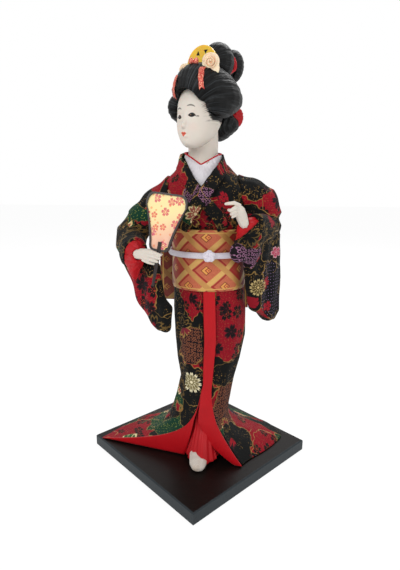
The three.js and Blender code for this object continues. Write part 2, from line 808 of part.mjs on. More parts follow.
// Fan: one straight axis from the end of the handle to the top of the leaf
const fanEndShares = [-9.5, -15.2, 45.6];
const fanTopShares = [-6.2, -12.2, 65.2];
const fanHandleRadius = { end: sized(0.3), top: sized(0.5) };
const fanLeafStart = sized(7.67);
const fanLeafWidth = { top: sized(9.5), foot: sized(4.9) };
const fanCornerRadius = sized(1.67);
const fanRimWidth = 0.7;
const fanRimThickness = 2;
const fanLeafThickness = 0.6;
const fanHandleInLeaf = sized(2);
const fanTurnDegrees = -14;
const fanRimFace = 1.15;
const fanWaistShares = { height: 0.45, width: 0.3 };
const fanFootRoundShare = 1.1;
const fanShoulderShare = 1.5;
const fanAxis = place(fanTopShares).sub(place(fanEndShares));
const fanLength = fanAxis.length();
const fanUp = fanAxis.clone().normalize();
function onFan(body) {
  const across = new THREE.Vector3(Math.cos(radians(fanTurnDegrees)), Math.sin(radians(fanTurnDegrees)), 0);
  across.addScaledVector(fanUp, -across.dot(fanUp)).normalize();
  const out = new THREE.Vector3().crossVectors(across, fanUp);
  const end = place(fanEndShares);
  return body.transform([
    ...across.toArray(), 0,
    ...fanUp.toArray(), 0,
    ...out.toArray(), 0,
    ...end.toArray(), 1,
  ]);
}
function fanOutline(inset) {
  const top = fanLength - inset;
  const foot = fanLeafStart + inset;
  const [wide, narrow] = [fanLeafWidth.top / 2 - inset, fanLeafWidth.foot / 2 - inset];
  const corner = fanCornerRadius;
  const waist = foot + (top - foot) * fanWaistShares.height;
  const waistHalf = narrow + (wide - narrow) * fanWaistShares.width;
  const outline = new THREE.Shape();
  const footRound = corner * fanFootRoundShare;
  outline.moveTo(-narrow, foot + footRound);
  outline.quadraticCurveTo(-narrow, foot, -narrow / 2, foot);
  outline.lineTo(narrow / 2, foot);
  outline.quadraticCurveTo(narrow, foot, narrow, foot + footRound);
  outline.quadraticCurveTo(waistHalf, waist, wide, top - corner * fanShoulderShare);
  outline.quadraticCurveTo(wide, top, wide - corner, top);
  outline.lineTo(corner - wide, top);
  outline.quadraticCurveTo(-wide, top, -wide, top - corner * fanShoulderShare);
  outline.quadraticCurveTo(-waistHalf, waist, -narrow, foot + footRound);
  return outline;
}
function fanPlate(inset, thickness) {
  const board = new THREE.ExtrudeGeometry(fanOutline(inset), {
    depth: thickness,
    bevelEnabled: false,
    curveSegments: 4,
  });
  board.translate(0, 0, -thickness / 2);
  return solid(board);
}
function fanHandle(grow = 0) {
  const length = fanLeafStart + fanHandleInLeaf + grow * 2;
  const stick = new THREE.CylinderGeometry(
    fanHandleRadius.top + grow,
    fanHandleRadius.end + grow,
    length,
    12,
  );
  stick.translate(0, length / 2 - grow, 0);
  return solid(stick);
}

// Skirt column: rows of height, X, Y, half width, half depth, from the obi to the base
const skirtColumnShares = [
  [46.6, 2.3, 0, 8.5, 7.6],
  [43.8, 2.4, 0, 8.7, 7.8],
  [37.0, 2.6, 0, 9.1, 7.7],
  [30.5, 2.8, 0, 9.0, 7.5],
  [24.0, 2.5, 0, 8.1, 7.2],
  [19.2, 2.3, -0.2, 7.0, 7.4],
  [14.0, 1.4, -0.7, 7.0, 7.9],
  [10.0, 0.5, -1.0, 7.0, 8.0],
  [0.0, 0.0, -1.0, 7.0, 8.0],
];
const flareTopShare = 19.2;
const clothLift = 0.4;
// Each rail runs down the column at its angle and flares out to its place on the hem
const railShares = {
  liningInner: { angle: -7, hem: [-3.2, -8.3], power: 2.3 },
  ridgeRight: { angle: -9, hem: [-27.0, -1.4], power: 4.3 },
  sideRight: { angle: -75, hem: [-20, 7.3], power: 5 },
  backRight: { angle: -130, hem: [-12, 14.8], power: 4 },
  back: { angle: -180, hem: [0, 21], power: 3.6 },
  backLeft: { angle: -230, hem: [12.7, 14.2], power: 4.5 },
  sideLeft: { angle: -285, hem: [23.2, 2.7], power: 5 },
  ridgeLeft: { angle: -350.5, hem: [11.3, -12], power: 1.5 },
  bandInner: { angle: -8, hem: [9.6, -11.4], power: 3.2 },
};
function railPoint(rail, height) {
  const [, x, y, wide, deep] = between(skirtColumnShares, height);
  const angle = radians(rail.angle);
  const onColumn = new THREE.Vector2(x + wide * Math.sin(angle), y - deep * Math.cos(angle));
  const drop = THREE.MathUtils.clamp((flareTopShare - height) / flareTopShare, 0, 1);
  const hem = new THREE.Vector2(...rail.hem);
  return onColumn.lerp(hem, drop ** rail.power).multiplyScalar(hundredth);
}
const clothRails = ['ridgeRight', 'sideRight', 'backRight', 'back', 'backLeft', 'sideLeft', 'ridgeLeft'];
const clothStepCount = 20;
const foldDepth = sized(0.37);
const foldCount = 7;
const flareEaseShare = 3;
const foldReachShare = 1.4;
const levelShares = [46.6, 34, 22, 17, 13.5, 10.5, 8, 6, 4.2, 2.6, 1.3, 0.1];

// One level of a sheet: a front line of points, and a back line set in by the cloth's thickness
function clothLevel(points, height, inner, outer, ends = 0) {
  const at = (list) => list.map((point) => new THREE.Vector3(
    point.x,
    point.y,
    plateThickness + height * hundredth + clothLift,
  ));
  const normals = points.map((point, index) => {
    const before = points[Math.max(0, index - 1)];
    const after = points[Math.min(points.length - 1, index + 1)];
    const along = after.clone().sub(before).normalize();
    return new THREE.Vector2(along.y, -along.x);
  });
  const shifted = (amount) => {
    const line = points.map((point, index) => point.clone().addScaledVector(normals[index], amount));
    const last = line.length - 1;
    const lengthen = (end, next) => {
      const outward = line[end].clone().sub(line[next]).normalize();
      line[end].addScaledVector(outward, ends);
    };
    lengthen(0, 1);
    lengthen(last, last - 1);
    return line;
  };
  return { front: at(shifted(outer)), back: at(shifted(-inner)) };
}
function skirtLine(height) {
  const controls = clothRails.map((name) => {
    const point = railPoint(railShares[name], height);
    return new THREE.Vector3(point.x, point.y, 0);
  });
  const [, x, y, wide, deep] = between(skirtColumnShares, height);
  const drop = THREE.MathUtils.clamp((flareTopShare - height) / flareTopShare, 0, 1);
  const curve = new THREE.CatmullRomCurve3(controls, false, 'centripetal');
  const first = radians(railShares.ridgeRight.angle);
  const last = radians(railShares.ridgeLeft.angle);
  const line = [];
  for (let step = 0; step < clothStepCount; step += 1) {
    const part = step / (clothStepCount - 1);
    const angle = first + (last - first) * part;
    const column = new THREE.Vector2(x + wide * Math.sin(angle), y - deep * Math.cos(angle))
      .multiplyScalar(hundredth);
    const flared = curve.getPoint(part);
    const blend = Math.min(1, drop * flareEaseShare);
    const point = column.lerp(new THREE.Vector2(flared.x, flared.y), blend);
    const fold = foldDepth * Math.sin(part * foldCount * 2 * Math.PI) * Math.sin(part * Math.PI) ** 2
      * Math.sin(Math.min(1, drop * foldReachShare) * Math.PI);
    point.addScaledVector(new THREE.Vector2(Math.sin(angle), -Math.cos(angle)), fold);
    line.push(point);
  }
  return line;
}
function sideLine(fromRail, toRail, height, count) {
  const from = railPoint(railShares[fromRail], height);
  const to = railPoint(railShares[toRail], height);
  const line = [];
  for (let step = 0; step < count; step += 1) {
    line.push(from.clone().lerp(to, step / (count - 1)));
  }
  return line;
}
// Cloth that slopes gently is thicker when it is measured level, so that it keeps its thickness
const slopeAllowanceShare = 2.2;
const levelThickness = (cloth, height) => {
  const drop = THREE.MathUtils.clamp((flareTopShare - height) / flareTopShare, 0, 1);
  return cloth * (1 + slopeAllowanceShare * drop ** 3);
};
function skirt() {
  const sections = levelShares.map((height) => {
    const line = skirtLine(height).reverse();
    return clothLevel(line, height, levelThickness(kimonoCloth, height), 0);
  });
  return solid(stripLoft(sections));
}

// Red lining of the right front panel, from where the panels part down to the hem
function liningRight(grow = 0) {
  const heights = levelShares.filter((height) => height < flareTopShare);
  const sections = heights.map((height) => {
    const line = sideLine('ridgeRight', 'liningInner', height, 8);
    return clothLevel(line, height, levelThickness(liningCloth, height) + grow, grow, grow * 2);
  });
  return solid(stripLoft(sections));
}

// Red front band: the turned-out edge of the left front panel, from the obi to the hem
function frontBand(grow = 0) {
  const sections = levelShares.map((height) => {
    const line = sideLine('bandInner', 'ridgeLeft', height, 6);
    const proud = fitGap + liningCloth;
    return clothLevel(line, height, grow - fitGap, proud + grow, grow);
  });
  return solid(stripLoft(sections));
}

// Underskirt: gathered red cloth round the front ankle
const underskirtShares = [
  [1.2, 1.3, -6.6, 4.6, 5.8],
  [4.0, 1.4, -6.2, 3.8, 5.1],
  [8.0, 1.6, -5.2, 3.1, 4.3],
  [13.0, 1.8, -4.2, 2.8, 3.7],
];
const gatherCount = 8;
const gatherShare = 0.07;
function underskirt(shrink = 0) {
  const sides = 24;
  const rings = underskirtShares.map((row, index) => {
    const depth = gatherShare * (1 - index / underskirtShares.length);
    return ovalRing(row, sides, -shrink).map((point, side) => {
      const wave = 1 + depth * Math.cos((side / sides) * 2 * Math.PI * gatherCount);
      const middle = new THREE.Vector3(row[1] * hundredth, row[2] * hundredth, point.z);
      return middle.clone().add(point.clone().sub(middle).multiplyScalar(wave));
    });
  });
  if (shrink > 0) {
    rings[0].forEach((point) => { point.z -= cutOverrun; });
    rings[rings.length - 1].forEach((point) => { point.z -= shrink; });
  }
  return solid(ringLoft(rings));
}

// Collars. The neck opening is a V between the two kimono collars
const veeShares = { right: [-4.4, 74.6], left: [6.2, 74.6], foot: [0.6, 65.2] };
const throatShares = { right: [-3.4, 74.6], left: [4.7, 74.6], foot: [0.5, 71.7] };
// The V reaches from the middle of the neck past the thickest part of the bodice's front
const veeDepth = sized(Math.max(...bodiceShares.map((row) => row[4]))) + cutOverrun;
function veeCut(grow = 0, shares = veeShares) {
  const corner = ([x, z]) => new THREE.Vector2(x * hundredth, plateThickness + z * hundredth);
  const [right, left, foot] = [corner(shares.right), corner(shares.left), corner(shares.foot)];
  const outline = new THREE.Shape([
    new THREE.Vector2(right.x - grow, right.y + cutOverrun),
    new THREE.Vector2(right.x - grow, right.y),
    new THREE.Vector2(foot.x, foot.y - grow * 2),
    new THREE.Vector2(left.x + grow, left.y),
    new THREE.Vector2(left.x + grow, left.y + cutOverrun),
  ]);
  const wedge = new THREE.ExtrudeGeometry(outline, { depth: veeDepth, bevelEnabled: false });
  wedge.rotateX(Math.PI / 2);
  return solid(wedge);
}

// Kimono collar bands lie on the bodice, from the nape over the shoulders and across to the obi
const collarShares = {
  right: [
    [0.8, 5.6, 73.6],
    [-3.0, 3.2, 73.4],
    [-4.9, -1.4, 72.6],
    [-3.4, -5.6, 69.6],
    [0.9, -7.7, 63.9],
    [4.6, -7.9, 59.8],
    [5.6, -7.9, 57.2],
  ],
  left: [
    [0.8, 5.6, 73.6],
    [4.9, 3.2, 73.2],
    [5.9, -1.4, 72.2],
    [4.2, -5.8, 69.3],
    [0.5, -8.3, 64.2],
    [-2.6, -8.6, 59.8],
    [-3.8, -8.6, 57.2],
  ],
};
const collarWidth = sized(3);
const underCollarInset = 0.6;
function collarBand(side, grow = 0) {
  const route = new THREE.CatmullRomCurve3(collarShares[side].map(place), false, 'centripetal');
  const axisPoint = new THREE.Vector3(bodiceShares[3][1] * hundredth, 0, 0);
  const steps = 16;
  const sections = [];
  for (let step = 0; step <= steps; step += 1) {
    const part = step / steps;
    const middle = route.getPoint(part);
    const along = route.getTangent(part);
    const out = new THREE.Vector3(middle.x - axisPoint.x, middle.y - axisPoint.y, collarWidth / 2);
    out.addScaledVector(along, -out.dot(along)).normalize();
    const across = new THREE.Vector3().crossVectors(along, out).normalize();
    const [half, thick] = [collarWidth / 2 + grow, collarCloth / 2 + grow];
    const line = [-1, -0.4, 0.4, 1].map((share) => middle.clone().addScaledVector(across, share * half));
    sections.push({
      front: line.map((point) => point.clone().addScaledVector(out, thick)),
      back: line.map((point) => point.clone().addScaledVector(out, -thick)),
    });
  }
  return solid(stripLoft(sections));
}

// Red piping: a thin roll that runs round the neck and dips to a point in front
const pipingRadius = 0.55;
const pipingShares = [
  [0.4, -5.9, 71.6],
  [-0.5, -5.7, 72.2],
  [-2.8, -3.7, 73.8],
  [-3.5, 0.6, 74.6],
  [-1.6, 4.2, 75.0],
  [2.6, 4.4, 75.0],
  [4.9, 1.2, 74.4],
  [4.1, -3.6, 73.7],
  [1.4, -5.6, 72.1],
];
function piping(grow = 0) {
  const route = new THREE.CatmullRomCurve3(pipingShares.map(place), true, 'centripetal');
  const steps = 26;
  const sides = 5;
  const rings = [];
  for (let step = 0; step < steps; step += 1) {
    const part = step / steps;
    const along = route.getTangent(part);
    const up = new THREE.Vector3(0, 0, 1);
    const wide = new THREE.Vector3().crossVectors(along, up).normalize();
    const tall = new THREE.Vector3().crossVectors(wide, along);
    rings.push(sectionRing({
      middle: route.getPoint(part),
      tall,
      wide,
      size: { x: pipingRadius, y: pipingRadius },
      grow,
      sides,
    }));
  }
  return solid(loopLoft(rings));
}

// Obi: the wide band, its cord and knot, and the drum with two tails behind
const obiShares = [
  [42.9, 2.3, -0.1, 9.1, 8.6],
  [49.5, 2.3, -0.1, 9.0, 8.5],
  [57.2, 2.2, -0.1, 9.1, 8.5],
];
const obi = (grow = 0, past = grow) => ovalBody(obiShares, { sides: 24, grow, past });
const cordHalfHeight = sized(0.77);
const cordHalfThickness = 1.3;
const cordHeightShare = 51.4;
const knotShares = [2.5, -9.9, 51.4];
const knotHalf = vector([1.6, 0.7, 1.35]).multiplyScalar(hundredth);
function obiCord(grow = 0) {
  const [height, x, y, wide, deep] = between(obiShares, cordHeightShare);
  const turns = 26;
  const sides = 6;
  const reach = fitGap + cordHalfThickness;
  const rings = [];
  for (let turn = 0; turn < turns; turn += 1) {
    const angle = (turn / turns) * 2 * Math.PI;
    const out = new THREE.Vector3(Math.sin(angle), -Math.cos(angle), 0);
    const middle = new THREE.Vector3(
      x * hundredth + (wide * hundredth + reach) * Math.sin(angle),
      y * hundredth - (deep * hundredth + reach) * Math.cos(angle),
      plateThickness + height * hundredth,
    );
    rings.push(sectionRing({
      middle,
      tall: new THREE.Vector3(0, 0, 1),
      wide: out,
      size: { x: cordHalfHeight, y: cordHalfThickness },
      grow,
      sides,
    }));
  }
  return solid(loopLoft(rings));
}
const drumShares = { middle: [2.4, 10.6, 53.6], halves: [8.2, 2.2, 5.6], corner: 0.35, round: 0.3 };
const tailWaveShare = 0.25;
const tailShares = {
  right: { x: [-10.9, -0.2], y: [8.7, 9.7], z: [36.8, 58.5] },
  left: { x: [2.4, 13.0], y: [8.9, 9.9], z: [34.6, 58.5] },
};
function obiDrum() {
  const { middle, halves } = drumShares;
  const size = vector(halves).multiplyScalar(hundredth * 2);
  const shape = new THREE.Shape();
  const [wide, tall] = [size.x / 2, size.z / 2];
  const corner = tall * drumShares.corner;
  shape.moveTo(-wide + corner, -tall);
  shape.lineTo(wide - corner, -tall);
  shape.quadraticCurveTo(wide, -tall, wide, -tall + corner);
  shape.lineTo(wide, tall - corner);
  shape.quadraticCurveTo(wide, tall, wide - corner, tall);
  shape.lineTo(-wide + corner, tall);
  shape.quadraticCurveTo(-wide, tall, -wide, tall - corner);
  shape.lineTo(-wide, -tall + corner);
  shape.quadraticCurveTo(-wide, -tall, -wide + corner, -tall);
  const round = size.y * drumShares.round;
  const drum = new THREE.ExtrudeGeometry(shape, {
    depth: size.y - 2 * round,
    bevelEnabled: true,
    bevelThickness: round,
    bevelSize: round,
    bevelOffset: -round,
    bevelSegments: 1,
    curveSegments: 2,
  });
  drum.translate(0, 0, -(size.y - 2 * round) / 2);
  drum.rotateX(Math.PI / 2);
  drum.translate(...place(middle).toArray());
  return solid(drum);
}
function obiTail(side, grow = 0) {
  const { x, y, z } = tailShares[side];
  const steps = 8;
  const across = 7;
  const sections = [];
  for (let step = 0; step <= steps; step += 1) {
    const part = step / steps;
    const past = (grow / hundredth) * (2 * part - 1);
    const height = z[0] + (z[1] - z[0]) * part + past;
    const line = [];
    for (let k = 0; k < across; k += 1) {
      const share = k / (across - 1);
      const wave = tailWaveShare * Math.sin(share * 2 * Math.PI) * (1 - part);
      line.push(new THREE.Vector2(x[0] + (x[1] - x[0]) * share, y[0] - wave).multiplyScalar(hundredth));
    }
    sections.push(clothLevel(line, height, obiCloth + grow, grow, grow * 2));
  }
  return solid(stripLoft(sections));
}

// Assemble. Each outer piece is cut by what lies inside it, grown by the fit clearance
const rodHole = rod(fitGap);
const neckHole = neckPlug(turningGap);
const coreRoom = core(fitGap);
const obiRoom = obi(fitGap);
const cordRoom = obiCord(fitGap);
const bandRoom = frontBand(fitGap);
const besideObiCord = fitGap + cordHalfThickness * 2 + wideGap;
const sleeve = {};
const cuff = {};
const collarRoom = {};
const armRoom = {};
['right', 'left'].forEach((side) => {
  armRoom[side] = arm(side, fitGap);
  collarRoom[side] = collarBand(side, fitGap);
  cuff[side] = mainPiece(cut(
    cuffTube(side, sleeveWall),
    cuffTube(side, sleeveWall + liningCloth, cutOverrun),
  ));
  sleeve[side] = mainPiece(cut(
    joined(sleeveTube(side), sleeveBag(side), ...(side === 'left' ? [drapeRoll()] : [])),
    cuffTube(side, sleeveWall - fitGap, cutOverrun),
    arm(side, wideGap),
    bodice(fitGap, fitGap),
    obi(besideObiCord),
  ));
});
const fanRoom = [onFan(fanHandle(fitGap)), onFan(fanPlate(-fitGap, fanRimThickness + 2 * fitGap))];
const hands = {
  right: mainPiece(cut(hand('right'), ...fanRoom, armRoom.right)),
  left: mainPiece(cut(hand('left'), armRoom.left)),
};
const legRoom = { front: leg(legFrontShares, fitGap), rear: leg(legRearShares, fitGap) };
const footRoom = { front: foot(footFrontShares, fitGap), rear: foot(footRearShares, fitGap) };

add('base_plate', cut(basePlate(), rodHole), finishes.lacquer());
add('support_rod', rod(), finishes.steel());
add('body_core', cut(core(), rodHole, neckHole), finishes.paper());
const legFront = mainPiece(cut(leg(legFrontShares), footRoom.front, coreRoom));
add('leg_front', legFront, finishes.paper());
const legRear = mainPiece(cut(leg(legRearShares), rodHole, footRoom.rear, coreRoom, legRoom.front));
add('leg_rear', legRear, finishes.paper());
const footFront = cut(foot(footFrontShares).intersect(overBase()), toeSplit());
add('foot_front', footFront, finishes.sock());
const footRear = mainPiece(cut(foot(footRearShares).intersect(overBase()), rodHole, footRoom.front));
add('foot_rear', footRear, finishes.sock());
['right', 'left'].forEach((side) => {
  add(`arm_${side}`, mainPiece(cut(arm(side), coreRoom)), finishes.paper());
  add(`hand_${side}`, hands[side], finishes.skin());
  add(`sleeve_${side}`, mainPiece(cut(sleeve[side], hands[side])), finishes.kimono());
  const lining = mainPiece(cut(cuff[side], armRoom[side], palm(side, fitGap), obi(besideObiCord)));
  add(`cuff_lining_${side}`, lining, finishes.satin());
});

const collarRooms = [collarRoom.right, collarRoom.left];
const armRooms = [armRoom.right, armRoom.left];
const bodiceTools = [coreRoom, neckHole, veeCut(), piping(fitGap), ...collarRooms, ...armRooms];
const bodiceCloth = mainPiece(cut(bodice(), ...bodiceTools));
add('kimono_bodice', bodiceCloth, finishes.kimono());
const underCollarFace = bodice(-underCollarInset).intersect(veeCut(-fitGap));
const underCollarTools = [coreRoom, neckHole, ...collarRooms, piping(fitGap), veeCut(0, throatShares)];
const underCollar = mainPiece(cut(underCollarFace, ...underCollarTools));
add('under_collar', underCollar, finishes.white());
add('collar_piping', cut(piping(), neckHole), finishes.satin());
const collarTools = [neckHole, piping(fitGap), obiRoom];
const collarRight = mainPiece(cut(collarBand('right'), collarRoom.left, ...collarTools));
add('kimono_collar_right', collarRight, finishes.kimonoRed());
add('kimono_collar_left', mainPiece(cut(collarBand('left'), ...collarTools)), finishes.kimono());

const skirtTopRoom = ovalBody(skirtColumnShares.slice(0, 2), { sides: 24, grow: wideGap, past: cutOverrun });
add('obi_band', cut(obi(0, 0), bodice(fitGap, cutOverrun), skirtTopRoom, bandRoom), finishes.obi());
add('obi_cord', obiCord(), finishes.white());
const knot = mainPiece(cut(ellipsoid(place(knotShares), knotHalf), cordRoom, obiRoom));
add('obi_cord_knot', knot, finishes.white());
['right', 'left'].forEach((side) => {
  add(`obi_tail_${side}`, mainPiece(cut(obiTail(side), cordRoom, obiRoom)), finishes.obi());
});
const drum = mainPiece(cut(obiDrum(), obiTail('right', fitGap), obiTail('left', fitGap), cordRoom));
add('obi_drum', drum, finishes.obi());

const liningRoom = liningRight(fitGap);
add('kimono_skirt', mainPiece(cut(skirt(), liningRoom, bandRoom, coreRoom)), finishes.kimonoRed());
add('skirt_lining_right', mainPiece(cut(liningRight(), bandRoom, coreRoom)), finishes.satin());
add('front_band', mainPiece(cut(frontBand(), coreRoom)), finishes.satin());
const insideUnderskirt = [underskirt(underskirtCloth), ...Object.values(legRoom), ...Object.values(footRoom)];
const underskirtBody = mainPiece(cut(underskirt(), ...insideUnderskirt, bandRoom, liningRoom));
add('underskirt', underskirtBody, finishes.satin());

// The head and all that turns with it
const hollowSideCount = 12;
const neckInTiltedHair = neckInHead(fitGap).translate([-neckX, -neckY, 0]);
const headRoom = [skull(hairToHeadGap, hollowSideCount), neckInTiltedHair];
const nose = shareBall(noseShares, 0, 10, 6);
const mouth = shareBall(mouthShares, 0, 10, 6);
add('head', joined(neckPlug(), neckInHead(), onNeck(joined(skull(), nose, mouth))), finishes.skin());
const window = faceWindow();
const wingRooms = [wing('right', fitGap), wing('left', fitGap)];
const capRoom = hairCap(fitGap);
const bunRoom = bunFront(fitGap);
const addHair = (name, body, material = finishes.hair()) => add(name, onNeck(mainPiece(body)), material);
addHair('hair_cap', cut(hairCap(), ...headRoom, window, ...wingRooms));
['right', 'left'].forEach((side) => addHair(`hair_wing_${side}`, cut(wing(side), ...headRoom, window)));
const roll = onNeck(cut(napeRoll(), skull(fitGap), capRoom, ...wingRooms));
add('hair_nape_roll', mainPiece(cut(roll, neckInHead(fitGap))), finishes.hair());
addHair('hair_bun_front', cut(bunFront(), capRoom));
addHair('hair_bun_rear', cut(bunRear(), bunRoom, capRoom));
addHair('bun_ribbon', cut(bunRibbon(), bunRoom, bunRear(fitGap)), finishes.satin());
const bandBall = shareBall(napeBandShares, 0, hairSideCount, hairRingCount);
const bandBlock = box(place(napeBandRoomShares.low), place(napeBandRoomShares.high));
const napeBand = mainPiece(cut(bandBall.intersect(bandBlock), capRoom, napeRoll(fitGap), ...wingRooms));
addHair('nape_band', napeBand, finishes.satin());
addHair('comb', cut(comb(), capRoom, bunRoom), finishes.amber());
const combHalf = combThickness / 2 + fitGap;
const combReach = combRadius + fitGap;
const combRoom = box(
  new THREE.Vector3(combX - combReach, combY - combHalf, combBaseHeight - cutOverrun),
  new THREE.Vector3(combX + combReach, combY + combHalf, combBaseHeight + combReach),
);
const bowRoom = hairBow(fitGap);
const towards = { right: -1, left: 1 };
Object.entries(towards).forEach(([side, direction]) => {
  addHair(`rose_${side}`, cut(rose(side), capRoom, combRoom, bowRoom, bunRoom), finishes.petal());
  const ribbonPiece = cut(ribbon(side, direction), rose('right'), rose('left'), bowRoom);
  addHair(`hair_ribbon_${side}`, ribbonPiece, finishes.glitter());
});
addHair('hair_bow', cut(hairBow(), capRoom, combRoom), finishes.glitter());

// The fan
const leafRoom = fanPlate(fanRimWidth - fitGap, fanLeafThickness + 2 * fitGap);
add('fan_leaf', onFan(fanPlate(fanRimWidth, fanLeafThickness)), finishes.fanPaper());
const rimHole = fanPlate(fanRimFace, cutOverrun * 2);
const rim = cut(fanPlate(0, fanRimThickness), rimHole, leafRoom, fanHandle(fitGap));
add('fan_rim', onFan(rim), finishes.fanWood());
add('fan_handle', onFan(cut(fanHandle(), leafRoom)), finishes.fanWood());

export default doll;
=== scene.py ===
# %% [markdown]
# # A kimono doll on a black square base
#
# This lesson dresses a finished CAD doll in cloth, hair and paint. The CAD part gives every piece
# its place and size, so nothing is fitted here by eye: each soft piece is made where its solid
# stands, and then takes over from it.

# %% Load the frame
import math

import bmesh
import bpy
import numpy as np
from mathutils import Matrix, Vector
from mathutils.bvhtree import BVHTree


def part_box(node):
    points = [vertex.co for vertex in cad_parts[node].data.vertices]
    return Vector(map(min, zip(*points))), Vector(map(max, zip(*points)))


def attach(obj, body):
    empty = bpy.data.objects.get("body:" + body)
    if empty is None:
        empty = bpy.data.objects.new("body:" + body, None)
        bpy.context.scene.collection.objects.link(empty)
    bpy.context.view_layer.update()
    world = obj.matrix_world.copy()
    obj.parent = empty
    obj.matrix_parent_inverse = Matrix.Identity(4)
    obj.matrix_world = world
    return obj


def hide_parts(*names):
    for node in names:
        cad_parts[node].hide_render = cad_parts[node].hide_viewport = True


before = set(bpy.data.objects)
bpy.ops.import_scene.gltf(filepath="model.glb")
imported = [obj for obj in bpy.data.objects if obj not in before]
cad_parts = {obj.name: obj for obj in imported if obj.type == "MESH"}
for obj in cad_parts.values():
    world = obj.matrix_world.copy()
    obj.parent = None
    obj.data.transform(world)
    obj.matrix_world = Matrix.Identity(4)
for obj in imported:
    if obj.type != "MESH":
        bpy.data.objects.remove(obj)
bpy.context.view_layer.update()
MM = 0.001

# %% [markdown]
# ## Camera and studio
#
# The photograph was taken from close by with a wide lens, level with the doll's shoulders and
# looking down by 12.5 degrees. The plate's four corners fix the camera: their place in the picture gives
# the height, the distance and the angle, so the camera is written down as a point and three angles.

# %% Camera
def look_matrix(place, turn, down, roll):
    """The camera's matrix from its place, its turn about Z, how far it looks down, and its roll."""
    across = Vector((math.cos(turn), math.sin(turn), 0))
    level = Vector((-math.sin(turn), math.cos(turn), 0))
    forward = level * math.cos(down) + Vector((0, 0, -math.sin(down)))
    upward = level * math.sin(down) + Vector((0, 0, math.cos(down)))
    right = across * math.cos(roll) + upward * math.sin(roll)
    top = upward * math.cos(roll) - across * math.sin(roll)
    axes = Matrix((right, top, -forward)).transposed().to_4x4()
    return Matrix.Translation(place) @ axes


lens = bpy.data.cameras.new("studio_camera")
lens.sensor_fit = "AUTO"
lens.sensor_width = 36
lens.lens = 36 * 422.0 / 570
camera = bpy.data.objects.new("studio_camera", lens)
bpy.context.scene.collection.objects.link(camera)
camera.matrix_world = look_matrix(
    Vector((11.81, -311.28, 205.5)) * MM, math.radians(2.1), math.radians(12.5), math.radians(0.3)
)
bpy.context.scene.camera = camera
print("lens", round(lens.lens, 2), "mm")

# %% [markdown]
# A plain floor receives the doll's shadow. Its colour is nearly white, and for rays that come
# straight from the camera it is swapped for a white that shines by itself, so that the picture's
# background is white without any more light on the doll.

# %% Floor and sky
def linear(red, green, blue):
    """A screen colour, 0 to 255, as the linear colour that a shader wants."""
    parts = []
    for value in (red, green, blue):
        share = value / 255
        parts.append(share / 12.92 if share <= 0.04045 else ((share + 0.055) / 1.055) ** 2.4)
    return (*parts, 1.0)


def seen_rays(tree):
    """1 for rays from the camera, from a glossy bounce or through something clear."""
    path = tree.nodes.new("ShaderNodeLightPath")
    either = tree.nodes.new("ShaderNodeMath")
    either.operation = "MAXIMUM"
    tree.links.new(path.outputs["Is Camera Ray"], either.inputs[0])
    tree.links.new(path.outputs["Is Glossy Ray"], either.inputs[1])
    every = tree.nodes.new("ShaderNodeMath")
    every.operation = "MAXIMUM"
    tree.links.new(either.outputs[0], every.inputs[0])
    tree.links.new(path.outputs["Is Transmission Ray"], every.inputs[1])
    return every.outputs[0]


world = bpy.data.worlds.new("studio_sky")
bpy.context.scene.world = world
world.use_nodes = True
sky = world.node_tree
sky.nodes.clear()
plain_sky = sky.nodes.new("ShaderNodeBackground")
plain_sky.inputs["Color"].default_value = (1, 1, 1, 1)
plain_sky.inputs["Strength"].default_value = 0.55
white_sky = sky.nodes.new("ShaderNodeBackground")
white_sky.inputs["Color"].default_value = (1, 1, 1, 1)
choose_sky = sky.nodes.new("ShaderNodeMixShader")
sky.links.new(seen_rays(sky), choose_sky.inputs[0])
sky.links.new(plain_sky.outputs[0], choose_sky.inputs[1])
sky.links.new(white_sky.outputs[0], choose_sky.inputs[2])
sky.links.new(choose_sky.outputs[0], sky.nodes.new("ShaderNodeOutputWorld").inputs[0])

floor_mesh = bpy.data.meshes.new("studio_floor")
reach = 6.0
floor_mesh.from_pydata(
    [(-reach, -reach, 0), (reach, -reach, 0), (reach, reach, 0), (-reach, reach, 0)], [], [(0, 1, 2, 3)]
)
floor = bpy.data.objects.new("studio_floor", floor_mesh)
bpy.context.scene.collection.objects.link(floor)
floor_paint = bpy.data.materials.new("studio_floor")
floor_paint.use_nodes = True
floor_tree = floor_paint.node_tree
floor_tree.nodes.clear()
floor_mat = floor_tree.nodes.new("ShaderNodeBsdfDiffuse")
floor_mat.inputs["Color"].default_value = (1, 1, 1, 1)
floor_glow = floor_tree.nodes.new("ShaderNodeEmission")
floor_glow.inputs["Color"].default_value = (1, 1, 1, 1)
floor_glow.inputs["Strength"].default_value = 1.05
floor_sum = floor_tree.nodes.new("ShaderNodeMixShader")
floor_share = floor_tree.nodes.new("ShaderNodeMath")
floor_share.operation = "MULTIPLY"
floor_share.inputs[1].default_value = 0.85
floor_tree.links.new(seen_rays(floor_tree), floor_share.inputs[0])
floor_tree.links.new(floor_share.outputs[0], floor_sum.inputs[0])
floor_tree.links.new(floor_mat.outputs[0], floor_sum.inputs[1])
floor_tree.links.new(floor_glow.outputs[0], floor_sum.inputs[2])
floor_tree.links.new(floor_sum.outputs[0], floor_tree.nodes.new("ShaderNodeOutputMaterial").inputs[0])
floor.data.materials.append(floor_paint)

# %% [markdown]
# The photograph has soft light from the upper left and a weaker fill from the right. Two broad
# panels give that, and a third from above and behind draws the soft gleam on the hair.

# %% Lights
def panel(name, place, towards, size, power):
    """A broad soft lamp at a place, turned towards a point; lengths in metres."""
    lamp = bpy.data.lights.new(name, "AREA")
    lamp.size = size
    lamp.energy = power
    holder = bpy.data.objects.new(name, lamp)
    bpy.context.scene.collection.objects.link(holder)
    holder.location = place
    holder.rotation_euler = (Vector(towards) - Vector(place)).to_track_quat("-Z", "Y").to_euler()


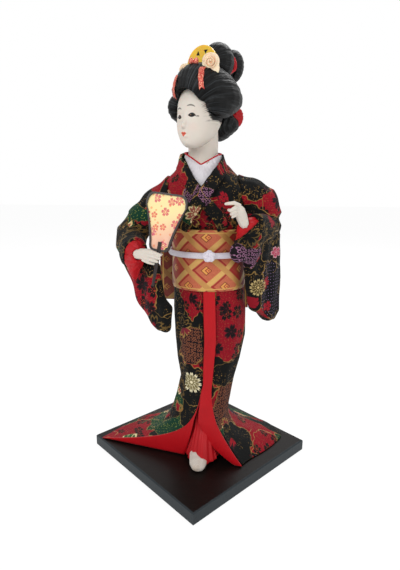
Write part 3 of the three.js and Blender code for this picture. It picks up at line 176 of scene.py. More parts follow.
middle = (0, 0, 0.16)
panel("key_panel", (-0.75, -1.0, 0.95), middle, 0.8, 10)
panel("fill_panel", (1.0, -0.8, 0.5), middle, 0.9, 4.5)
panel("top_panel", (0.2, 0.6, 1.1), middle, 0.7, 6)

# %% [markdown]
# ## Small tools for shader trees
#
# Every finish below is made of maths: waves, cells and noise. These helpers place one node each
# and join it to what feeds it, so that a material reads as a short recipe. They all work in the
# tree that was begun last, because each tree is finished before the next one is begun.

# %% Node helpers
trees = []


def new_node(kind):
    """A new node in the tree in hand."""
    return trees[-1].nodes.new("ShaderNode" + kind)


def feed(socket, value):
    """Join a socket to another socket, or set it to a plain value."""
    if isinstance(value, bpy.types.NodeSocket):
        trees[-1].links.new(value, socket)
    elif value is not None:
        socket.default_value = value


def calc(operation, first, second=None, third=None, clamp=False):
    """One maths node."""
    made = new_node("Math")
    made.operation = operation
    made.use_clamp = clamp
    for socket, value in zip(made.inputs, (first, second, third)):
        feed(socket, value)
    return made.outputs[0]


def times(first, second, clamp=False):
    """One value times another."""
    return calc("MULTIPLY", first, second, clamp=clamp)


def plus(first, second):
    """One value plus another."""
    return calc("ADD", first, second)


def minus(first, second):
    """One value less another."""
    return calc("SUBTRACT", first, second)


def divided(first, second):
    """One value divided by another."""
    return calc("DIVIDE", first, second)


def times_plus(first, second, third):
    """One value times another, plus a third."""
    return calc("MULTIPLY_ADD", first, second, third)


def larger(first, second):
    """The larger of two values."""
    return calc("MAXIMUM", first, second)


def size_of(value):
    """A value without its sign."""
    return calc("ABSOLUTE", value)


def turn_vector(operation, first, second=None, scale=None):
    """One vector maths node; its first output, or the length where the operation gives one."""
    made = new_node("VectorMath")
    made.operation = operation
    feed(made.inputs[0], first)
    feed(made.inputs[1], second)
    if scale is not None:
        feed(made.inputs["Scale"], scale)
    return made.outputs["Value" if operation in ("LENGTH", "DISTANCE", "DOT_PRODUCT") else "Vector"]


def parts_of(vector):
    """The three parts of a vector."""
    made = new_node("SeparateXYZ")
    feed(made.inputs[0], vector)
    return made.outputs[0], made.outputs[1], made.outputs[2]


def vector_of(x=0.0, y=0.0, z=0.0):
    """A vector from three parts."""
    made = new_node("CombineXYZ")
    for socket, value in zip(made.inputs, (x, y, z)):
        feed(socket, value)
    return made.outputs[0]


def step_between(value, low, high):
    """0 below low, 1 above high, and a soft step between; low may be the larger."""
    made = new_node("MapRange")
    made.interpolation_type = "SMOOTHSTEP"
    feed(made.inputs["Value"], value)
    feed(made.inputs["From Min"], low)
    feed(made.inputs["From Max"], high)
    return made.outputs["Result"]


def paint_over(mask, under, over):
    """One colour painted over another where the mask is 1."""
    made = new_node("Mix")
    made.data_type = "RGBA"
    feed(made.inputs["Factor"], mask)
    feed(made.inputs["A"], under)
    feed(made.inputs["B"], over)
    return made.outputs["Result"]


def cloudy(place, scale, detail=2.0, rough=0.5):
    """Soft noise from 0 to 1."""
    made = new_node("TexNoise")
    feed(made.inputs["Vector"], place)
    feed(made.inputs["Scale"], scale)
    feed(made.inputs["Detail"], detail)
    feed(made.inputs["Roughness"], rough)
    return made.outputs["Fac"]


def cells(place, scale, feature="F1", spread=1.0, flat=True):
    """A cell texture in the plane of the cloth, or through space."""
    made = new_node("TexVoronoi")
    made.voronoi_dimensions = "2D" if flat else "3D"
    made.feature = feature
    feed(made.inputs["Vector"], place)
    feed(made.inputs["Scale"], scale)
    feed(made.inputs["Randomness"], spread)
    return made


def lit(name):
    """A named value of the mesh, as a vector."""
    made = new_node("Attribute")
    made.attribute_name = name
    return made.outputs["Vector"]


def place_on_object():
    """Where the point lies on the doll, in metres."""
    return new_node("TexCoord").outputs["Object"]


def group_tree(name, inputs, outputs):
    """An empty node group with named sockets; returns the tree and its two ends."""
    tree = bpy.data.node_groups.new(name, "ShaderNodeTree")
    trees.append(tree)
    kinds = {"value": "NodeSocketFloat", "vector": "NodeSocketVector", "colour": "NodeSocketColor"}
    for label, kind, start in inputs:
        socket = tree.interface.new_socket(label, in_out="INPUT", socket_type=kinds[kind])
        if start is not None:
            socket.default_value = start
    for label, kind in outputs:
        tree.interface.new_socket(label, in_out="OUTPUT", socket_type=kinds[kind])
    return tree, tree.nodes.new("NodeGroupInput").outputs, tree.nodes.new("NodeGroupOutput").inputs


def use(group, **values):
    """Place a node group; spaces in socket names are written as underscores."""
    made = new_node("Group")
    made.node_tree = group
    for name, value in values.items():
        feed(made.inputs[name.replace("_", " ")], value)
    return made.outputs


def new_finish(name, slot, roughness=0.7, specular=0.5, sheen=0.0, coat=0.0, coat_roughness=0.1,
               metallic=0.0, subsurface=0.0):
    """A material with a Principled shader; what stays the same all over sits on its sockets."""
    material = bpy.data.materials.new(name)
    material.use_nodes = True
    tree = material.node_tree
    tree.nodes.clear()
    trees.append(tree)
    shader = new_node("BsdfPrincipled")
    shader.inputs["Roughness"].default_value = roughness
    shader.inputs["Specular IOR Level"].default_value = specular
    shader.inputs["Sheen Weight"].default_value = sheen
    shader.inputs["Sheen Roughness"].default_value = 0.4
    shader.inputs["Coat Weight"].default_value = coat
    shader.inputs["Coat Roughness"].default_value = coat_roughness
    shader.inputs["Metallic"].default_value = metallic
    shader.inputs["Subsurface Weight"].default_value = subsurface
    feed(new_node("OutputMaterial").inputs[0], shader.outputs[0])
    material["slot"] = slot
    return material, shader


def raise_surface(shader, height, distance, strength=1.0):
    """Feed a height, in shares of a distance in metres, to the shader's normal."""
    made = new_node("Bump")
    made.inputs["Strength"].default_value = strength
    made.inputs["Distance"].default_value = distance
    feed(made.inputs["Height"], height)
    feed(shader.inputs["Normal"], made.outputs[0])


print("node helpers ready")

# %% [markdown]
# ## Effects that several finishes share
#
# Woven thread is in nearly every piece. Two waves at right angles, offset by half a thread in
# every other row, give the over and under of a plain weave. A slow noise bends the threads and
# changes their tint a little, because hand-woven silk is never even.

# %% Weave group
weave, weave_in, weave_out = group_tree(
    "weave",
    [("Place", "vector", None), ("Threads per metre", "value", 2600.0), ("Unevenness", "value", 0.3)],
    [("Height", "value"), ("Tint", "value")],
)
weave_u, weave_v, _ = parts_of(weave_in["Place"])
weave_bend = times(cloudy(weave_in["Place"], 160.0), weave_in["Unevenness"])
along_u = times(weave_u, weave_in["Threads per metre"])
along_v = times(weave_v, weave_in["Threads per metre"])
wave_u = calc("SINE", times(plus(along_u, weave_bend), math.tau))
wave_v = calc("SINE", times(plus(along_v, weave_bend), math.tau))
crossing = times(wave_u, wave_v)
feed(weave_out["Height"], times_plus(crossing, 0.5, 0.5))
slow = cloudy(weave_in["Place"], 90.0, 4.0)
feed(weave_out["Tint"], times_plus(slow, 0.5, 0.75))

# %% [markdown]
# Cherry blossom is the cloth's chief motif. A cell texture scatters the flowers; each cell hands
# over its own middle, so the flower can be drawn round it in polar form: five petals come from the
# cosine of half of five times the angle, and a narrow cut at each petal's tip gives the notch.

# %% Blossom groups
flower, flower_in, flower_out = group_tree(
    "one_flower",
    [("Place", "vector", None), ("Radius", "value", 0.005), ("Petals", "value", 5.0), ("Turn", "value", 0.0),
     ("Notch", "value", 0.2)],
    [("Petals", "value"), ("Line", "value"), ("Heart", "value")],
)
flower_x, flower_y, _ = parts_of(flower_in["Place"])
flower_far = divided(turn_vector("LENGTH", vector_of(flower_x, flower_y)),
                  flower_in["Radius"])
flower_angle = plus(calc("ARCTAN2", flower_y, flower_x), flower_in["Turn"])
half_angle = times(times(flower_angle, flower_in["Petals"]), 0.5)
lobe = size_of(calc("COSINE", half_angle))
cut_tip = times(calc("POWER", lobe, 24.0), flower_in["Notch"])
petal_edge = minus(times_plus(calc("POWER", lobe, 0.55), 0.78, 0.22), cut_tip)
inside_petal = step_between(minus(petal_edge, flower_far), -0.03, 0.05)
rim_band = size_of(minus(petal_edge, flower_far))
rim_line = step_between(rim_band, 0.13, 0.07)
dots = calc("COSINE", times(flower_angle, 10.0))
stamens = times(step_between(dots, 0.2, 0.6), step_between(flower_far, 0.45, 0.4))
feed(flower_out["Petals"], inside_petal)
feed(flower_out["Line"], rim_line)
feed(flower_out["Heart"], larger(step_between(flower_far, 0.17, 0.12),
                                       times(stamens, step_between(flower_far, 0.25, 0.3))))

scatter, scatter_in, scatter_out = group_tree(
    "scattered_blossoms",
    [("Place", "vector", None), ("Cells per metre", "value", 75.0), ("Size", "value", 0.42),
     ("Amount", "value", 0.8), ("Notch", "value", 0.2)],
    [("Petals", "value"), ("Line", "value"), ("Heart", "value"), ("Chance", "value")],
)
scatter_cells = cells(scatter_in["Place"], scatter_in["Cells per metre"], spread=0.75)
cell_red, cell_green, cell_blue = parts_of(scatter_cells.outputs["Color"])
from_middle = turn_vector("SUBTRACT",
    turn_vector("SCALE", scatter_in["Place"], scale=scatter_in["Cells per metre"]),
    turn_vector("SCALE", scatter_cells.outputs["Position"], scale=scatter_in["Cells per metre"]))
grown_size = times(scatter_in["Size"], times_plus(cell_green, 0.5, 0.7))
scattered = use(flower, Place=from_middle, Radius=grown_size,
                Turn=times(cell_blue, math.tau), Notch=scatter_in["Notch"])
kept_cell = calc("LESS_THAN", cell_red, scatter_in["Amount"])
for label in ("Petals", "Line", "Heart"):
    feed(scatter_out[label], times(scattered[label], kept_cell))
feed(scatter_out["Chance"], cell_green)

# %% [markdown]
# Between the flowers lie patches of tie-dye rings, and the black ground is sprinkled with gold
# thread. Rings are cells with little randomness; the sprinkle is small cells of which only
# some are lit. The patches themselves are stretched balls with a wandering edge, and each has a
# gold line along it.

# %% Ring, sprinkle and patch groups
rings, rings_in, rings_out = group_tree(
    "tie_dye_rings",
    [("Place", "vector", None), ("Rings per metre", "value", 520.0)],
    [("Ring", "value"), ("Eye", "value")],
)
ring_cells = cells(rings_in["Place"], rings_in["Rings per metre"], spread=0.35)
ring_far = ring_cells.outputs["Distance"]
feed(rings_out["Ring"], step_between(size_of(minus(ring_far, 0.32)), 0.1, 0.05))
feed(rings_out["Eye"], step_between(ring_far, 0.12, 0.07))

sprinkle, sprinkle_in, sprinkle_out = group_tree(
    "gold_sprinkle",
    [("Place", "vector", None), ("Cells per metre", "value", 900.0), ("Amount", "value", 0.3)],
    [("Speck", "value")],
)
speck_cells = cells(sprinkle_in["Place"], sprinkle_in["Cells per metre"], flat=False)
speck_chance, _, _ = parts_of(speck_cells.outputs["Color"])
feed(sprinkle_out["Speck"], times(calc("LESS_THAN", speck_chance, sprinkle_in["Amount"]),
    step_between(speck_cells.outputs["Distance"], 0.46, 0.34)))

patch, patch_in, patch_out = group_tree(
    "patch",
    [("Place", "vector", None), ("Middle", "vector", None), ("Half", "vector", (0.01, 0.01, 0.01)),
     ("Rim", "value", 0.026)],
    [("Inside", "value"), ("Edge", "value")],
)
from_patch = turn_vector("DIVIDE", turn_vector("SUBTRACT", patch_in["Place"], patch_in["Middle"]),
                         patch_in["Half"])
patch_far = turn_vector("LENGTH", from_patch)
feed(patch_out["Inside"], step_between(patch_far, 1.01, 0.99))
patch_line = size_of(minus(patch_far, 1.0))
feed(patch_out["Edge"], step_between(divided(patch_line, patch_in["Rim"]), 1.0, 0.6))
print("groups:", [g.name for g in bpy.data.node_groups])

# %% [markdown]
# ## The kimono's cloth
#
# The brocade mixes five grounds: black with gold sprinkle, red with black blossom, tie-dye rings
# on plum, green with gold, and black with lilac dots. One group draws all five, and a large cell
# texture lays them out as a patchwork. Masks from outside can ask for one ground at a chosen
# place, which is how the front of the doll gets its patches where they belong. A last input turns
# the rings brown, as they are on the skirt.

# %% Kimono print group
GROUNDS = {
    "black": linear(11, 12, 12),
    "red": linear(150, 14, 32),
    "plum": linear(20, 14, 19),
    "green": linear(14, 52, 36),
    "ink": linear(12, 12, 14),
}
GOLD = linear(158, 124, 66)
PINK = linear(150, 104, 134)
LILAC = linear(168, 140, 186)
CREAM = linear(214, 198, 150)
NET_TURNS = 2700.0

kimono, kimono_in, kimono_out = group_tree(
    "kimono_print",
    [("Place", "vector", None), ("Brown", "value", 0.0), ("Black", "value", 0.0), ("Red", "value", 0.0),
    ("Rings", "value", 0.0),
     ("Green", "value", 0.0), ("Dots", "value", 0.0), ("Edge", "value", 0.0)],
    [("Colour", "colour"), ("Height", "value"), ("Gold", "value")],
)
cloth_place = kimono_in["Place"]
wander = turn_vector("ADD", cloth_place, vector_of(times_plus(cloudy(cloth_place, 60.0), 0.016, -0.008),
    times_plus(cloudy(turn_vector("ADD", cloth_place, (0.3, 0.1, 0)), 60.0), 0.016, -0.008)))
field_cells = cells(wander, 36.0, spread=0.9)
field_edge = cells(wander, 36.0, feature="DISTANCE_TO_EDGE", spread=0.9)
field_pick, _, _ = parts_of(field_cells.outputs["Color"])
asked = larger(larger(kimono_in["Black"], kimono_in["Red"]),
    larger(larger(kimono_in["Rings"], kimono_in["Green"]), kimono_in["Dots"]))
free = minus(1.0, asked)


def ground_mask(low, high, order):
    """Where a ground shows: in its share of the free cells, or where a mask asks for it."""
    drawn = times(calc("GREATER_THAN", field_pick, low),
                 calc("LESS_THAN", field_pick, high))
    return larger(times(drawn, free), kimono_in[order])


is_red = ground_mask(0.48, 0.7, "Red")
is_rings = ground_mask(0.7, 0.8, "Rings")
is_green = ground_mask(0.8, 0.88, "Green")
is_dots = ground_mask(0.88, 1.01, "Dots")
small_blossoms = use(scatter, Place=cloth_place, Cells_per_metre=84.0, Size=0.43, Amount=0.66)
large_blossoms = use(scatter, Place=turn_vector("ADD", cloth_place, (0.47, 0.23, 0)),
                     Cells_per_metre=46.0, Size=0.33, Amount=0.42, Notch=0.3)
on_doll_place = place_on_object()
fine_specks = use(sprinkle, Place=on_doll_place, Cells_per_metre=1150.0, Amount=0.3)["Speck"]
dye = use(rings, Place=cloth_place, Rings_per_metre=420.0)
tone = times_plus(cloudy(cloth_place, 45.0, 3.0), 0.5, 0.75)

specks_on_black = times(fine_specks, step_between(cloudy(on_doll_place, 90.0), 0.44, 0.6))
black_field = paint_over(times(specks_on_black, 0.7), GROUNDS["black"], GOLD)
sparse = calc("GREATER_THAN", small_blossoms["Chance"], 0.8)
black_field = paint_over(times(small_blossoms["Petals"], sparse), black_field, linear(132, 18, 32))
black_field = paint_over(times(large_blossoms["Line"], 0.3), black_field, GOLD)

net_u, net_v, _ = parts_of(cloth_place)
net_lines = calc("MINIMUM", size_of(calc("SINE", times(net_u, NET_TURNS))),
                 size_of(calc("SINE", times(net_v, NET_TURNS))))
net = times(step_between(net_lines, 0.42, 0.2), 0.62)
red_field = paint_over(net, GROUNDS["red"], linear(26, 14, 18))
red_field = paint_over(small_blossoms["Petals"], red_field, linear(18, 14, 16))
red_field = paint_over(times(small_blossoms["Heart"], 0.7), red_field, linear(170, 60, 40))
red_field = paint_over(times(fine_specks, 0.2), red_field, GOLD)

rings_field = paint_over(dye["Ring"], GROUNDS["plum"],
    paint_over(kimono_in["Brown"], PINK, linear(142, 84, 58)))
rings_field = paint_over(large_blossoms["Petals"], rings_field, linear(120, 34, 46))
rings_field = paint_over(large_blossoms["Line"], rings_field, GOLD)

green_field = paint_over(times(fine_specks, 0.7), GROUNDS["green"], linear(150, 160, 70))
green_field = paint_over(large_blossoms["Petals"], green_field, linear(150, 84, 70))
green_field = paint_over(large_blossoms["Line"], green_field, CREAM)
green_field = paint_over(large_blossoms["Heart"], green_field, CREAM)

dots_field = paint_over(dye["Eye"], GROUNDS["ink"], LILAC)
dots_field = paint_over(times(large_blossoms["Petals"], 0.9), dots_field, linear(150, 30, 44))

print_colour = black_field
for mask, field in ((is_red, red_field), (is_rings, rings_field), (is_green, green_field),
    (is_dots, dots_field)):
    print_colour = paint_over(mask, print_colour, field)
free_edge = times(step_between(field_edge.outputs["Distance"], 0.013, 0.006), free)
gold_line = times(larger(free_edge, kimono_in["Edge"]),
                 step_between(cloudy(cloth_place, 120.0), 0.38, 0.5))
print_colour = paint_over(times(gold_line, 0.6), print_colour, GOLD)
kimono_weave = use(weave, Place=cloth_place, Threads_per_metre=2300.0, Unevenness=0.5)
shaded = turn_vector("SCALE", print_colour, scale=times(tone, times_plus(kimono_weave["Height"], 0.3, 0.85)))
feed(kimono_out["Colour"], shaded)
raised = larger(gold_line, times(small_blossoms["Petals"], 0.5))
feed(kimono_out["Height"], times_plus(kimono_weave["Height"], 0.5, times(raised, 0.6)))
feed(kimono_out["Gold"], larger(gold_line, specks_on_black))
print("kimono print nodes:", len(kimono.nodes))


# %% Kimono finish for one piece
PATCH_INPUT = {"black": "Black", "red": "Red", "rings": "Rings", "green": "Green", "dots": "Dots"}


def union(masks):
    """The largest of several masks."""
    whole = masks[0]
    for mask in masks[1:]:
        whole = larger(whole, mask)
    return whole


def kimono_finish(name, patches=(), blooms=(), brown_rings=False):
    """The brocade with its patches and blooms, both placed in millimetres on the doll.

    A patch is a ground, a middle and half sizes. A bloom is a middle, whether it lies level, a
    radius, how many petals it has, and the colours of its petals and of its lines.
    """
    material, shader = new_finish(name, "kimono_brocade", roughness=0.78, specular=0.12, sheen=0.04)
    on_doll = place_on_object()
    noise = new_node("TexNoise")
    feed(noise.inputs["Vector"], on_doll)
    feed(noise.inputs["Scale"], 70.0)
    drift = turn_vector("SCALE", turn_vector("SUBTRACT", noise.outputs["Color"], (0.5, 0.5, 0.5)),
        scale=0.022)
    wandering = turn_vector("ADD", on_doll, drift)
    grouped, edges = {}, []
    for ground, middle_mm, half_mm in patches:
        made = use(patch, Place=wandering, Middle=[v * MM for v in middle_mm], Half=[v * MM for v in half_mm])
        grouped.setdefault(ground, []).append(made["Inside"])
        edges.append(made["Edge"])
    masks = {PATCH_INPUT[ground]: union(found) for ground, found in grouped.items()}
    if brown_rings:
        masks["Brown"] = 1.0
    if edges:
        masks["Edge"] = union(edges)
    cloth = use(kimono, Place=lit("cloth"), **masks)
    colour = cloth["Colour"]
    gold = cloth["Gold"]
    for middle_mm, flat, radius_mm, petals, body_paint, line_paint in blooms:
        away = turn_vector("SUBTRACT", on_doll, [v * MM for v in middle_mm])
        x, y, z = parts_of(away)
        spread = vector_of(x, y if flat else z)
        near = step_between(turn_vector("LENGTH", away), radius_mm * 2 * MM, radius_mm * 1.9 * MM)
        bloom = use(flower, Place=spread, Radius=radius_mm * MM, Petals=float(petals),
            Turn=middle_mm[0] * 0.1)
        colour = paint_over(times(bloom["Petals"], near), colour, body_paint)
        line = times(larger(bloom["Line"], bloom["Heart"]), near)
        colour = paint_over(line, colour, line_paint)
    feed(shader.inputs["Base Color"], colour)
    feed(shader.inputs["Roughness"], times_plus(gold, -0.35, 0.8))
    feed(shader.inputs["Metallic"], times(gold, 0.5))
    raise_surface(shader, cloth["Height"], 0.00025, 0.6)
    return material

# %% [markdown]
# ## Small tools for cloth and hair
#
# The soft pieces are made in two ways. Where a piece is a plain sheet, such as the skirt or a
# collar, its surface is written as rows of points and given a thickness. Where it is a stuffed or
# joined form, such as a sleeve, the CAD solid is copied, turned into an even net of small faces,
# and smoothed, and its folds are pushed in afterwards.

# %% Mesh helpers
def piece_of(name, vertices, faces):
    """A new smooth-shaded object; vertices in metres."""
    mesh = bpy.data.meshes.new(name)
    mesh.from_pydata([tuple(v) for v in vertices], [], [tuple(f) for f in faces])
    outward = bmesh.new()
    outward.from_mesh(mesh)
    bmesh.ops.recalc_face_normals(outward, faces=outward.faces)
    outward.to_mesh(mesh)
    outward.free()
    mesh.polygons.foreach_set("use_smooth", np.ones(len(mesh.polygons), bool))
    made = bpy.data.objects.new(name, mesh)
    bpy.context.scene.collection.objects.link(made)
    return made


def points_of(piece):
    """The piece's vertices as an array."""
    found = np.empty(len(piece.data.vertices) * 3)
    piece.data.vertices.foreach_get("co", found)
    return found.reshape(-1, 3)


def normals_of(piece):
    """The piece's vertex normals as an array."""
    found = np.empty(len(piece.data.vertices) * 3)
    piece.data.vertex_normals.foreach_get("vector", found)
    return found.reshape(-1, 3)


def move_points(piece, points):
    """Write vertices back."""
    piece.data.vertices.foreach_set("co", np.asarray(points, float).ravel())
    piece.data.update()


def settle(piece):
    """Turn a piece's modifiers into its mesh."""
    graph = bpy.context.evaluated_depsgraph_get()
    mesh = bpy.data.meshes.new_from_object(piece.evaluated_get(graph))
    old = piece.data
    piece.modifiers.clear()
    piece.data = mesh
    bpy.data.meshes.remove(old)
    mesh.polygons.foreach_set("use_smooth", np.ones(len(mesh.polygons), bool))
    return piece


def merged(nodes, name):
    """One mesh from one or several CAD solids."""
    whole = bmesh.new()
    for node in [nodes] if isinstance(nodes, str) else nodes:
        whole.from_mesh(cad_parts[node].data)
    mesh = bpy.data.meshes.new(name)
    whole.to_mesh(mesh)
    whole.free()
    return mesh


def soften(nodes, name, net, rounds=6, push=0.0):
    """A copy of CAD solids as one even net of small faces, smoothed; lengths in millimetres."""
    made = bpy.data.objects.new(name, merged(nodes, name))
    bpy.context.scene.collection.objects.link(made)
    weld = made.modifiers.new("weld", "WELD")
    weld.merge_threshold = 0.00002
    if push:
        grow = made.modifiers.new("grow", "DISPLACE")
        grow.strength = push * MM
        grow.mid_level = 0
    remesh = made.modifiers.new("net", "REMESH")
    remesh.mode = "VOXEL"
    remesh.voxel_size = net * MM
    smooth = made.modifiers.new("smooth", "SMOOTH")
    smooth.iterations = rounds
    smooth.factor = 0.5
    settle(made)
    made.data.name = name
    return made


def dress(piece, body, material, *nodes):
    """The piece rides on a body, takes a finish, and stands for its CAD nodes."""
    piece.data.materials.clear()
    piece.data.materials.append(material)
    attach(piece, body)
    if nodes:
        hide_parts(*nodes)
    return piece


def paint_node(name, material):
    """Give a CAD node that stays in view its finish."""
    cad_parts[name].data.materials.clear()
    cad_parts[name].data.materials.append(material)


def lay_cloth(piece, u, v, third=0.0):
    """Keep where each point lies on the flat cloth, in metres, for the shader to read."""
    spread = np.zeros((len(u), 3), np.float32)
    spread[:, 0], spread[:, 1], spread[:, 2] = u, v, third
    kept = piece.data.attributes.new("cloth", "FLOAT_VECTOR", "POINT")
    kept.data.foreach_set("vector", spread.ravel())


def grid_normals(grid, around=False):
    """Normals of a grid of points, rows by columns."""
    if around:
        wide = np.roll(grid, -1, 1) - np.roll(grid, 1, 1)
    else:
        wide = np.gradient(grid, axis=1)
    tall = np.gradient(grid, axis=0)
    found = np.cross(wide, tall)
    return found / np.maximum(np.linalg.norm(found, axis=2, keepdims=True), 1e-12)


def thick_sheet(name, grid, thickness, spread=None, around=False):
    """A closed sheet: the grid is its outer face, and the inner face lies a thickness behind it."""
    grid = np.asarray(grid, float)
    rows, columns = grid.shape[:2]
    normals = grid_normals(grid, around)
    thickness = np.asarray(thickness, float)
    inner = grid - normals * (thickness[..., None] if thickness.ndim else thickness)
    vertices = np.concatenate([grid.reshape(-1, 3), inner.reshape(-1, 3)])
    count = rows * columns
    faces = []
    last = columns if around else columns - 1
    for row in range(rows - 1):
        for column in range(last):
            a, b = row * columns + column, row * columns + (column + 1) % columns
            c, d = b + columns, a + columns
            faces.append((a, b, c, d))
            faces.append((count + a, count + d, count + c, count + b))
    for column in range(last):
        a, b = column, (column + 1) % columns
        faces.append((a, count + a, count + b, b))
        a, b = (rows - 1) * columns + a, (rows - 1) * columns + b
        faces.append((a, b, count + b, count + a))
    if not around:
        for row in range(rows - 1):
            a, d = row * columns, (row + 1) * columns
            faces.append((a, d, count + d, count + a))
            b, c = a + columns - 1, d + columns - 1
            faces.append((b, count + b, count + c, c))
    made = piece_of(name, vertices, faces)
    if spread is not None:
        flat = np.asarray(spread, float).reshape(-1, 2)
        lay_cloth(made, np.tile(flat[:, 0], 2), np.tile(flat[:, 1], 2))
    return made


def closed_tube(name, rings, loop=False):
    """A closed body through rings of points; a loop joins its last ring to its first."""
    rings = np.asarray(rings, float)
    count, sides = rings.shape[:2]
    vertices = list(rings.reshape(-1, 3))
    faces = []
    for ring in range(count if loop else count - 1):
        for side in range(sides):
            a, b = ring * sides + side, ring * sides + (side + 1) % sides
            following = ((ring + 1) % count) * sides
            faces.append((a, b, following + (side + 1) % sides, following + side))
    if not loop:
        faces.append(tuple(reversed(range(sides))))
        faces.append(tuple((count - 1) * sides + side for side in range(sides)))
    return piece_of(name, vertices, faces)


def smooth_route(controls, count):
    """Points along a smooth curve through the controls, evenly spaced in the controls' own count."""
    controls = np.asarray(controls, float)
    length = len(controls)
    shares = np.linspace(0, 1, count) * (length - 1)
    route = []
    for share in shares:
        start = min(int(share), length - 2)
        part = share - start
        p1, p2 = controls[start], controls[start + 1]
        p0 = controls[start - 1] if start > 0 else 2 * p1 - p2
        p3 = controls[start + 2] if start + 2 < length else 2 * p2 - p1
        d0, d1, d2 = (max(float(np.sum((b - a) ** 2)) ** 0.25, 1e-9) for a,
            b in ((p0, p1), (p1, p2), (p2, p3)))
        t1 = ((p1 - p0) / d0 - (p2 - p0) / (d0 + d1) + (p2 - p1) / d1) * d1
        t2 = ((p2 - p1) / d1 - (p3 - p1) / (d1 + d2) + (p3 - p2) / d2) * d1
        route.append(p1 + t1 * part + (-3 * p1 + 3 * p2 - 2 * t1 - t2) * part ** 2
                     + (2 * p1 - 2 * p2 + t1 + t2) * part ** 3)
    return np.array(route)


def blend_table(table, heights):
    """A table whose first column is the height, read off smoothly at many heights."""
    table = np.array(sorted(table), float)
    return np.stack([np.interp(heights, table[:, 0], table[:, column]) for column in range(1,
        table.shape[1])], 1)


def rise(value, low, high):
    """A soft step from 0 to 1 between low and high."""
    share = np.clip((np.asarray(value, float) - low) / (high - low), 0, 1)
    return share * share * (3 - 2 * share)


def ripple(points, scale, seed=0.0, steps=2):
    """A slow wandering value from about -1 to 1 at each point; scale in millimetres."""
    points = np.asarray(points, float) / (scale * MM)
    whole = np.zeros(len(points))
    rng = np.random.default_rng(int(seed * 10) + 7)
    for step in range(steps * 4):
        way = rng.normal(size=3)
        way /= np.linalg.norm(way)
        speed = rng.uniform(0.7, 1.6) * (2 ** (step // 4))
        whole += np.sin(points @ way * math.tau * speed * 0.5 + rng.uniform(0, math.tau)) / (2 ** (step // 4))
    return whole / (2.2 * steps ** 0.5)


HUNDREDTH = 3.0
PLATE_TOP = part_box("base_plate")[1].z / MM


def on_figure(x, y, z):
    """A place on the figure, from shares of its height, in millimetres."""
    return np.array([x * HUNDREDTH, y * HUNDREDTH, PLATE_TOP + z * HUNDREDTH])


print("plate top at", round(PLATE_TOP, 2), "mm")

# %% [markdown]
# ## Base plate
#
# A lacquered board, nearly black with a brown cast, whose sawn edges have worn to a blue grey.
# The board's own solid is right, so it only needs its paint: a fine dust, the brush's faint grain
# and pale edges where the lacquer has rubbed thin.

# %% Base plate
lacquer, lacquer_shader = new_finish(
    "black_lacquer", "lacquered_board", roughness=0.48, specular=0.12, coat=0.03, coat_roughness=0.3)
board_place = place_on_object()
board_x, board_y, board_z = parts_of(board_place)
top_mask = step_between(board_z, (PLATE_TOP - 0.9) * MM, (PLATE_TOP - 0.2) * MM)
from_edge = plus(size_of(board_x), size_of(board_y))
rub_noise = cloudy(board_place, 420.0, 4.0, 0.7)
near_rim = step_between(times_plus(rub_noise, 0.0016, from_edge), 0.0835, 0.0848)
dust = step_between(cloudy(board_place, 900.0, 3.0, 0.8), 0.62, 0.8)
grain = cloudy(turn_vector("MULTIPLY", board_place, (40.0, 900.0, 40.0)), 1.0, 3.0)
top_colour = paint_over(grain, linear(11, 6, 5), linear(19, 13, 11))
top_colour = paint_over(times(dust, 0.25), top_colour, linear(90, 86, 84))
side_colour = paint_over(grain, linear(6, 8, 9), linear(18, 22, 24))
board_colour = paint_over(top_mask, side_colour, top_colour)
board_colour = paint_over(times(near_rim, 0.75), board_colour, linear(46, 53, 57))
feed(lacquer_shader.inputs["Base Color"], board_colour)
feed(lacquer_shader.inputs["Roughness"], times_plus(grain, 0.15, 0.3))
raise_surface(lacquer_shader, grain, 0.0001, 0.4)
paint_node("base_plate", lacquer)

# %% [markdown]
# ## Inner parts
#
# The wire, the wound body and the padded limbs hardly show, but each still gets its own finish:
# drawn steel with fine lines, and paper wound round in overlapping turns.

# %% Steel and wound paper
steel, steel_shader = new_finish("drawn_steel", "steel_wire", roughness=0.35, metallic=1.0)
steel_lines = cloudy(turn_vector("MULTIPLY", place_on_object(), (4000.0, 4000.0, 60.0)), 1.0)
feed(steel_shader.inputs["Base Color"], paint_over(steel_lines, linear(120, 120, 124), linear(190, 190, 194)))
raise_surface(steel_shader, steel_lines, 0.00005, 0.5)

wound, wound_shader = new_finish("wound_paper", "wound_paper", roughness=0.9, specular=0.2)
wound_x, _, wound_z = parts_of(place_on_object())
turns = calc("FRACT", times(times_plus(wound_x, 0.2, wound_z), 160.0))
fibre = cloudy(place_on_object(), 700.0, 4.0)
feed(wound_shader.inputs["Base Color"],
    paint_over(times(fibre, turns), linear(150, 136, 108), linear(205, 194, 166)))
raise_surface(wound_shader, turns, 0.0003, 0.6)
for node, finish in (("support_rod", steel), ("body_core", wound), ("leg_front", wound), ("leg_rear", wound),
                     ("arm_right", wound), ("arm_left", wound)):
    paint_node(node, finish)
print("inner parts finished")

# %% [markdown]
# ## Red satin
#
# The linings, the gathered underskirt and the turned-out front band are one red satin. Satin
# shines because most of its threads run one way, so the weave here is drawn out along one
# direction and the gloss stays soft.

